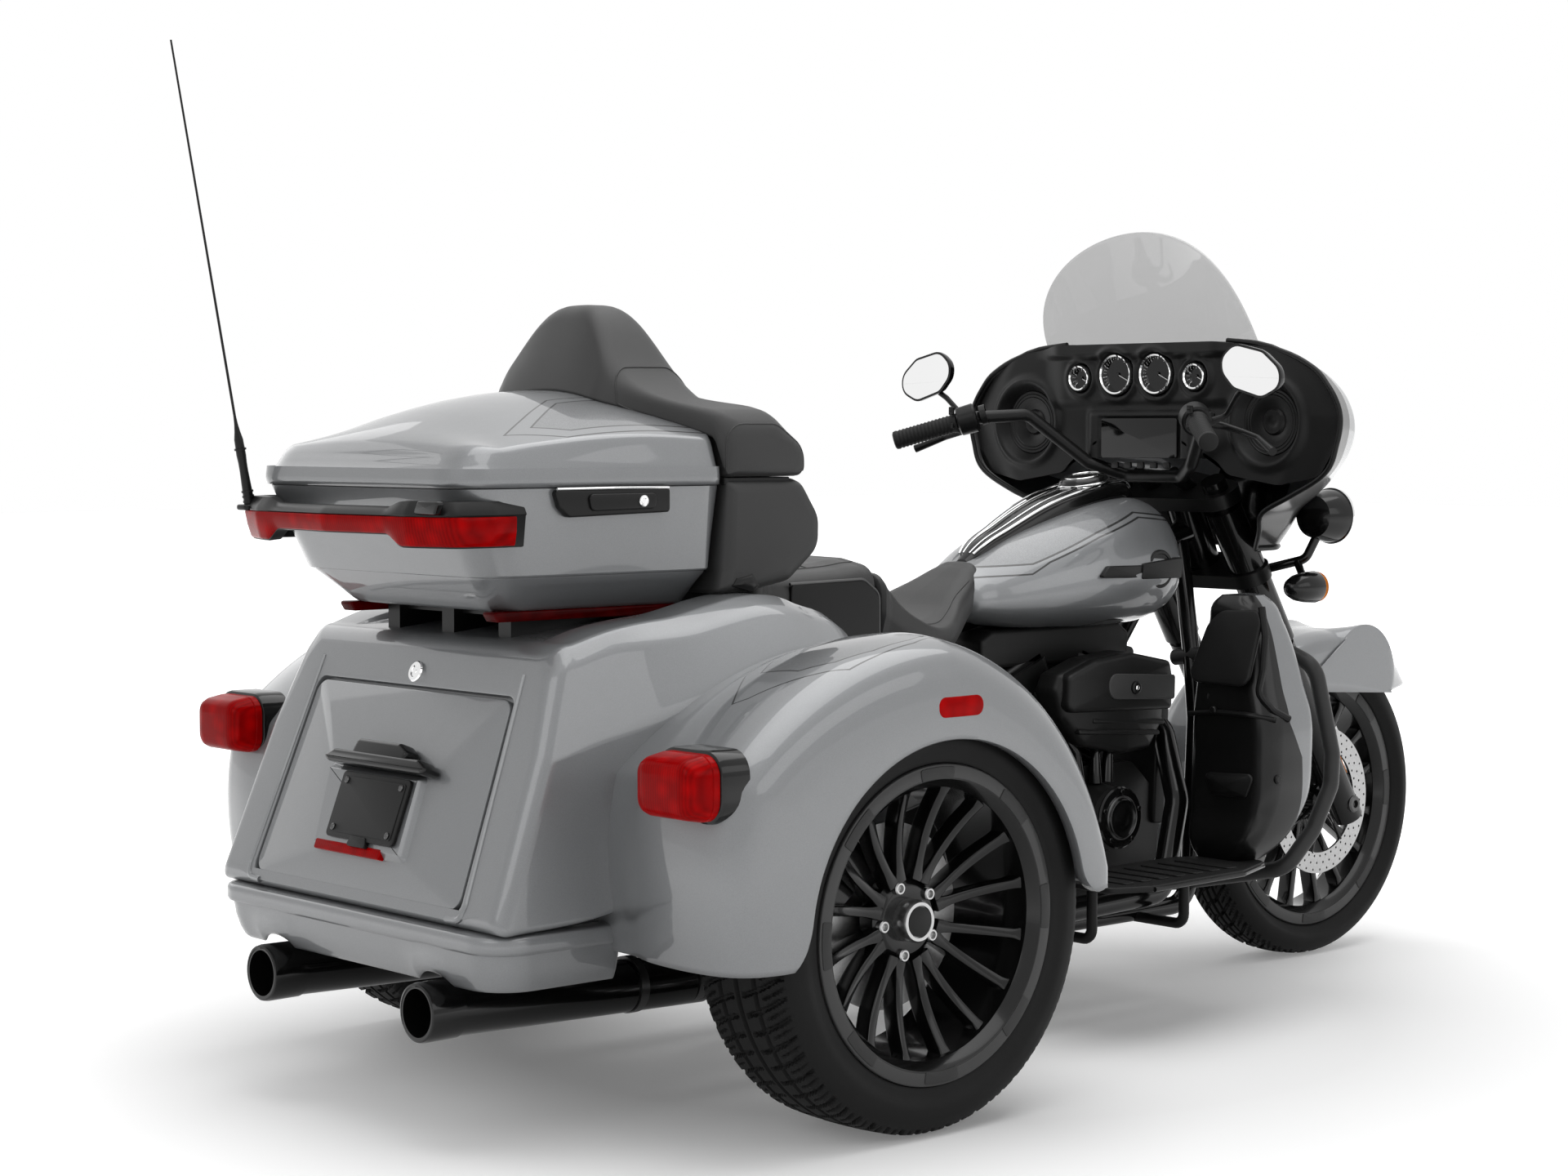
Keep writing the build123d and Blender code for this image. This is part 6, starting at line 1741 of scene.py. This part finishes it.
cylinder = {
    # both lean away from upright about one foot; along each, where the rocker cover and the
    # pushrods' upper ends are, the cover's half size and thickness, and its bolts' places
    "foot": (902, 0, 380), "leans": (-22.5, 22.5), "cover": 262, "head": 250,
    "half": (80, 66), "thick": 30, "bolts": ((-56.76, 56.76), (-44.72, 44.72)),
    "bolt": ((0, 0), (0, 6), (5, 6), (6, 4), (6, 0)),
    # share of a pushrod tube's length and its radius there
    "rod": ((0, 13), (0.16, 13), (0.18, 9), (0.86, 9), (0.88, 12), (1, 12)), "rods": (-14, 14),
}
covers, rods, bolts = [], [], []
foot, (halfX, halfY) = np.array(cylinder["foot"], float), cylinder["half"]
for lean in cylinder["leans"]:
    up = np.array((sin(radians(lean)), 0, cos(radians(lean))))
    ahead = np.array((cos(radians(lean)), 0, -sin(radians(lean))))
    base, head = foot + up * cylinder["cover"], foot + up * cylinder["head"]
    covers.append(slab(box(-halfX, -halfY, halfX, halfY), 26, base, ahead, np.cross(up, ahead),
                       cylinder["thick"], 9, 6, 3))
    bolts += [turned(cylinder["bolt"], base + ahead * u + (0, v, 0) + up * cylinder["thick"], up,
                     12) for u in cylinder["bolts"][0] for v in cylinder["bolts"][1]]
    for u in cylinder["rods"]:
        low = foot + (1.7 * lean + 1.1 * u, -132, 40)
        rods.append(tube([low, low + (0.25 * lean + 0.2 * u, 4, 60),
                          head + ahead * u * 0.8 + (0, -78, -22)], cylinder["rod"], 16))
piece("rockerCovers", covers, "gloss", "chassis")
piece("pushrodTubes", rods, "gloss", "chassis")
piece("rockerBolts", bolts, "chrome", "chassis")

panels = {
    # a dark block of painted shade under the tank and one ahead of the engine, and the side cover
    "upper": ((690, 640), (1086, 640), (1092, 690), (1060, 712), (720, 708), (690, 690)),
    "front": ((1092, 330), (1122, 326), (1140, 600), (1104, 604)),
    "side": ((131, 432), (300, 402), (596, 470), (636, 560), (560, 662), (300, 662), (131, 634)),
    "sideRadii": (6, 20, 24, 24, 30, 30, 8),
}
# Two dark blocks of painted shade fill the gaps under the tank and ahead of the engine, where the
# view would pass through.
piece("shadeFillers", [slab(panels["upper"], 14, (0, 66, 0), *fromRight, 132, 8, 5),
                        slab(panels["front"], 10, (0, 128, 0), *fromRight, 256, 5, 5)],
      "plastic", "chassis")
piece("sideCovers", bothSides(
    slab(panels["side"], panels["sideRadii"], (0, -168, 0), *fromRight, 34, 8, 6, 6)),
      "gloss", "chassis", ("side_cover_right", "side_cover_left"))
tips = {
    "at": (-653, -216, 212), "clampsAt": ((-140, -216, 205), (-260, -216, 205)),
    "tip": ((60, 36), (60, 45), (6, 45.5), (0, 44), (-1, 41), (1, 38.5), (60, 36.2)),
    "plug": ((58, 0), (58, 37), (57, 38), (57, 40), (60, 40), (60, 0)),
    "clamp": ((0, 41), (0, 45), (16, 45), (16, 41)),
}
piece("exhaustTips", bothSides(turned(tips["tip"], tips["at"], forward, 64),
                               turned(tips["plug"], tips["at"], forward, 40)),
      "gloss", "chassis")
piece("exhaustClamps", bothSides(*[turned(tips["clamp"], spot, forward, 48, loop=True)
                                   for spot in tips["clampsAt"]]),
      "darkSteel", "chassis")
print("engine")

# Front fender: a skin from inner edge to inner edge over the crown
nose = {
    "crown": ((-98, 26), (-94, 19), (-84, 10), (-66, 3), (-40, 1), (0, 0), (40, 1), (66, 3),
              (84, 10), (94, 19), (98, 26)),
    # the outline from the tip to the foot, as in the rear fenders' marks
    "marks": ((2010, 540, -0.5, -0.2), (1878, 632, -0.3, -0.9), (1700, 667, 0, -1),
              (1423, 570, 0.8, -0.6), (1288, 188, 0.9, 0)),
    "wall": 4, "steps": 70, "rows": 44, "lip": 130,
    # the side skirts' lower edge: straight from the first mark, then an arc
    "edge": (1870 + 530j, 1650 + 544j, 1452 + 482j, 1394 + 209j), "skirtY": 99,
}


def frontFenderSheet():
    rows, t = [], np.linspace(0, 1, nose["steps"])
    keys, insets = np.array(nose["crown"], float).T
    y = np.linspace(keys[0], keys[-1], nose["rows"])
    for v, inset in zip(y, smooth(keys, insets, y)):
        tip, *marks = moved(nose["marks"], inset)
        # The lip is rounded in plan: it goes back with the square of the distance across.
        tip -= nose["lip"] * (v / keys[-1])**2
        line = np.concatenate([arcThrough(tip, *marks[:2], t), arcThrough(*marks[1:], t)[1:]])
        rows.append(np.insert(flat(line), 1, v, 1))
    edge = np.concatenate([np.linspace(*nose["edge"][:2], 26),
                           arcThrough(*nose["edge"][1:], np.linspace(0, 1, 60)[1:])])
    edge = evenly(flat(edge), len(rows[0]))
    share = np.linspace(0, 1, 8)[1:, None, None]
    right, left = (row + (np.insert(edge, 1, y, 1) - row) * share
                   for y, row in ((-nose["skirtY"], rows[0]), (nose["skirtY"], rows[-1])))
    return np.concatenate([right[::-1], rows, left])


piece("frontFender", [grid(frontFenderSheet(), around=False)], "silver", "front_fork",
      "front_fender", wall=nose["wall"], sharp=50)

# Fork dress, bars and controls
grip = {
    "end": (922, -399, 1054), "inner": (1020, -283, 1098), "ribs": 15, "ribStep": 7.5,
    # along the grip from its end and the radius there: the end, one rib and the flange
    "first": ((-5, 0), (-5, 14), (-3, 17.5), (2, 18.5)),
    "rib": ((0, 18.4), (2, 17.2), (4, 17.2), (6, 18.4)),
    "last": ((118, 19), (122, 21), (124, 21), (124, 12)),
}
controls = {
    # the switch pod's place along the grip, its body and collar, and how far up each button is
    "pod": 127, "body": ((0, 10), (0, 24), (3, 28), (34, 29), (38, 26), (39, 12)),
    "collar": ((46, 12), (46, 20), (58, 20), (58, 12)),
    "buttons": (-16, 0, 16, -10, 10),
    # the lever and the mirror's stem: a bent line, and share of the length and radius
    "lever": ((1022, -292, 1090), (1062, -318, 1082), (1066, -362, 1070), (1060, -400, 1060),
              (1030, -457, 1036)),
    "leverSize": ((0, 9), (0.3, 6.5), (0.9, 5.5), (0.92, 8), (1, 8)),
    "stem": ((1030, -310, 1088), (1046, -338, 1102), (1034, -372, 1138), (1028, -392, 1152)),
    "stemSize": ((0, 9), (0.2, 5), (1, 5.5)),
    "pivot": ((0, 0), (0, 13), (26, 13), (28, 10), (28, 0)), "pivotAt": (1034, -300, 1080),
}
foot, inner = (np.array(grip[k], float) for k in ("end", "inner"))
run = unit(inner - foot)
ribs = [(4 + grip["ribStep"] * n + d, r) for n in range(grip["ribs"]) for d, r in grip["rib"]]
piece("handGrips", bothSides(turned([*grip["first"], *ribs, *grip["last"]], foot, run, 40)),
      "grip", "front_fork", "hand_grips")
pod = foot + controls["pod"] * run
buttons = [slab(box(-6, -5, 6, 5), 2, pod + run * (12 + 12 * (n % 2)) + (-24, -8, 6 + up),
                *fromBehind, 6, 1.5) for n, up in enumerate(controls["buttons"])]
piece("handControls", bothSides(
    turned(controls["body"], pod, run, 36), turned(controls["collar"], pod, run, 30), *buttons,
    bar(controls["lever"], controls["leverSize"], 30, 12),
    bar(controls["stem"], controls["stemSize"], 20, 12),
    turned(controls["pivot"], controls["pivotAt"], (0.2, 0, 1), 24)),
      "satin", "front_fork", "hand_controls")

fork = {
    "rake": 32, "reflectorAt": (1637, -128, 418), "nutAt": (1675, -142, 319.5),
    "nut": ((0, 0), (0, 17), (12, 17), (15, 14), (15, 8), (8, 7), (8, 0)),
    "caliper": ((1556, 366), (1606, 352), (1640, 420), (1624, 484), (1570, 490)),
}
lean = radians(fork["rake"])
piece("forkReflectors", bothSides(slab(
    box(-13, -52, 13, 52), 5, fork["reflectorAt"], (cos(lean), 0, sin(lean)),
    (-sin(lean), 0, cos(lean)), 8, 2)), "amber", "front_fork")
piece("axleNuts", bothSides(turned(fork["nut"], fork["nutAt"], toRight, 36)), "darkSteel",
      "front_fork")
piece("calipers", bothSides(slab(fork["caliper"], 16, (0, -60, 0), *fromRight, 42, 6, 5, 3)),
      "gloss", "front_fork")
kept = {
    "gloss": ("frame", "rear_axle", "exhaust", "fork_legs", "fork_shrouds"),
    "engine": ("engine_case", "engine_cylinders"),
    "satin": ("top_case_rack", "fork_yokes", "handlebar"),
    "disc": ("rear_brake_disc_right", "rear_brake_disc_left"),
}
for look, names in kept.items():
    for name in names:
        nodes[name].data.materials.clear()
        nodes[name].data.materials.append(looks[look])
print("front end and kept nodes")

# Camera, light and floor
view = {"place": (-3.7487, -3.8073, 1.0796), "yaw": 48.3097, "pitch": -3.1248,
        "lens": 67.61, "sensor": 36.0}
camera = bpy.data.cameras.new("camera")
camera.lens, camera.sensor_width = view["lens"], view["sensor"]
camera.sensor_fit = "HORIZONTAL"
cameraObject = placed("camera", camera)
cameraObject.location = view["place"]
cameraObject.rotation_euler = (radians(90 + view["pitch"]), 0, radians(view["yaw"] - 90))
bpy.context.scene.camera = cameraObject

lamps = {
    # place, aimed at, size across and up, power in watts
    "top": ((0.2, -0.4, 5.2), (0, 0, 0.6), (6.0, 4.5), 185),
    "rear": ((-5.2, -1.6, 3.4), (0, 0, 0.7), (3.0, 2.4), 34),
    "right": ((1.2, -5.4, 3.0), (0.2, 0, 0.6), (4.5, 2.4), 40),
    "left": ((-0.8, 5.2, 3.0), (0, 0, 0.6), (4.0, 2.4), 26),
}
for name, (place, aim, size, power) in lamps.items():
    lamp = bpy.data.lights.new(name, "AREA")
    lamp.shape, lamp.size, lamp.size_y, lamp.energy = "RECTANGLE", *size, power
    made = placed(name, lamp)
    heading = np.array(aim, float) - place
    flat = np.hypot(heading[0], heading[1])
    made.location = place
    made.rotation_euler = (np.arctan2(flat, -heading[2]), 0,
                           np.arctan2(heading[1], heading[0]) - pi / 2)

studio = {"fill": 0.33, "floor": 0.86, "near": 0.12, "far": 1.0, "fade": (0.8, 3.2),
          "half": 30, "down": -0.0005}
world = bpy.data.worlds.new("studio")
bpy.context.scene.world = world
world.use_nodes = True
w = Wire(world.node_tree)
rays = [w.node("ShaderNodeLightPath", out=name) for name in
        ("Is Camera Ray", "Is Glossy Ray", "Is Transmission Ray")]
seen = rays[0].above(rays[1]).above(rays[2])
dim, white = (w.node("ShaderNodeBackground", inputs={"Color": (1, 1, 1, 1), "Strength": level})
              for level in (studio["fill"], 1.0))
both = w.node("ShaderNodeMixShader", inputs={0: seen, 1: dim, 2: white})
world.node_tree.links.new(both.socket,
                          world.node_tree.nodes["World Output"].inputs["Surface"])



def paleFloor(w):
    # What the camera and mirrors see brightens from near the object out to a white horizon.
    rays = [w.node("ShaderNodeLightPath", out=name) for name in ("Is Camera Ray", "Is Glossy Ray")]
    x, y, _ = w.xyz()
    near, far = studio["fade"]
    away = (((x * x + y * y).maths("SQRT") - near) / (far - near)).above(0).below(1)
    glow = rays[0].above(rays[1]) * away.scaled(studio["near"], studio["far"])
    return {"Base Color": grey(studio["floor"]), "Roughness": 0.6, "Specular IOR Level": 0.1,
            "Emission Strength": 1.0, "Emission Color": w.node(
                "ShaderNodeCombineColor", inputs={0: glow, 1: glow, 2: glow})}


half = studio["half"]
floorMesh = bpy.data.meshes.new("floor")
floorMesh.from_pydata([(*corner, studio["down"]) for corner in box(-half, -half, half, half)], [],
                      [(0, 1, 2, 3)])
floorMesh.materials.append(material("paleFloor", paleFloor))
floor = placed("floor", floorMesh)
bpy.context.scene.view_settings.view_transform = "Standard"
print("camera, light and floor")
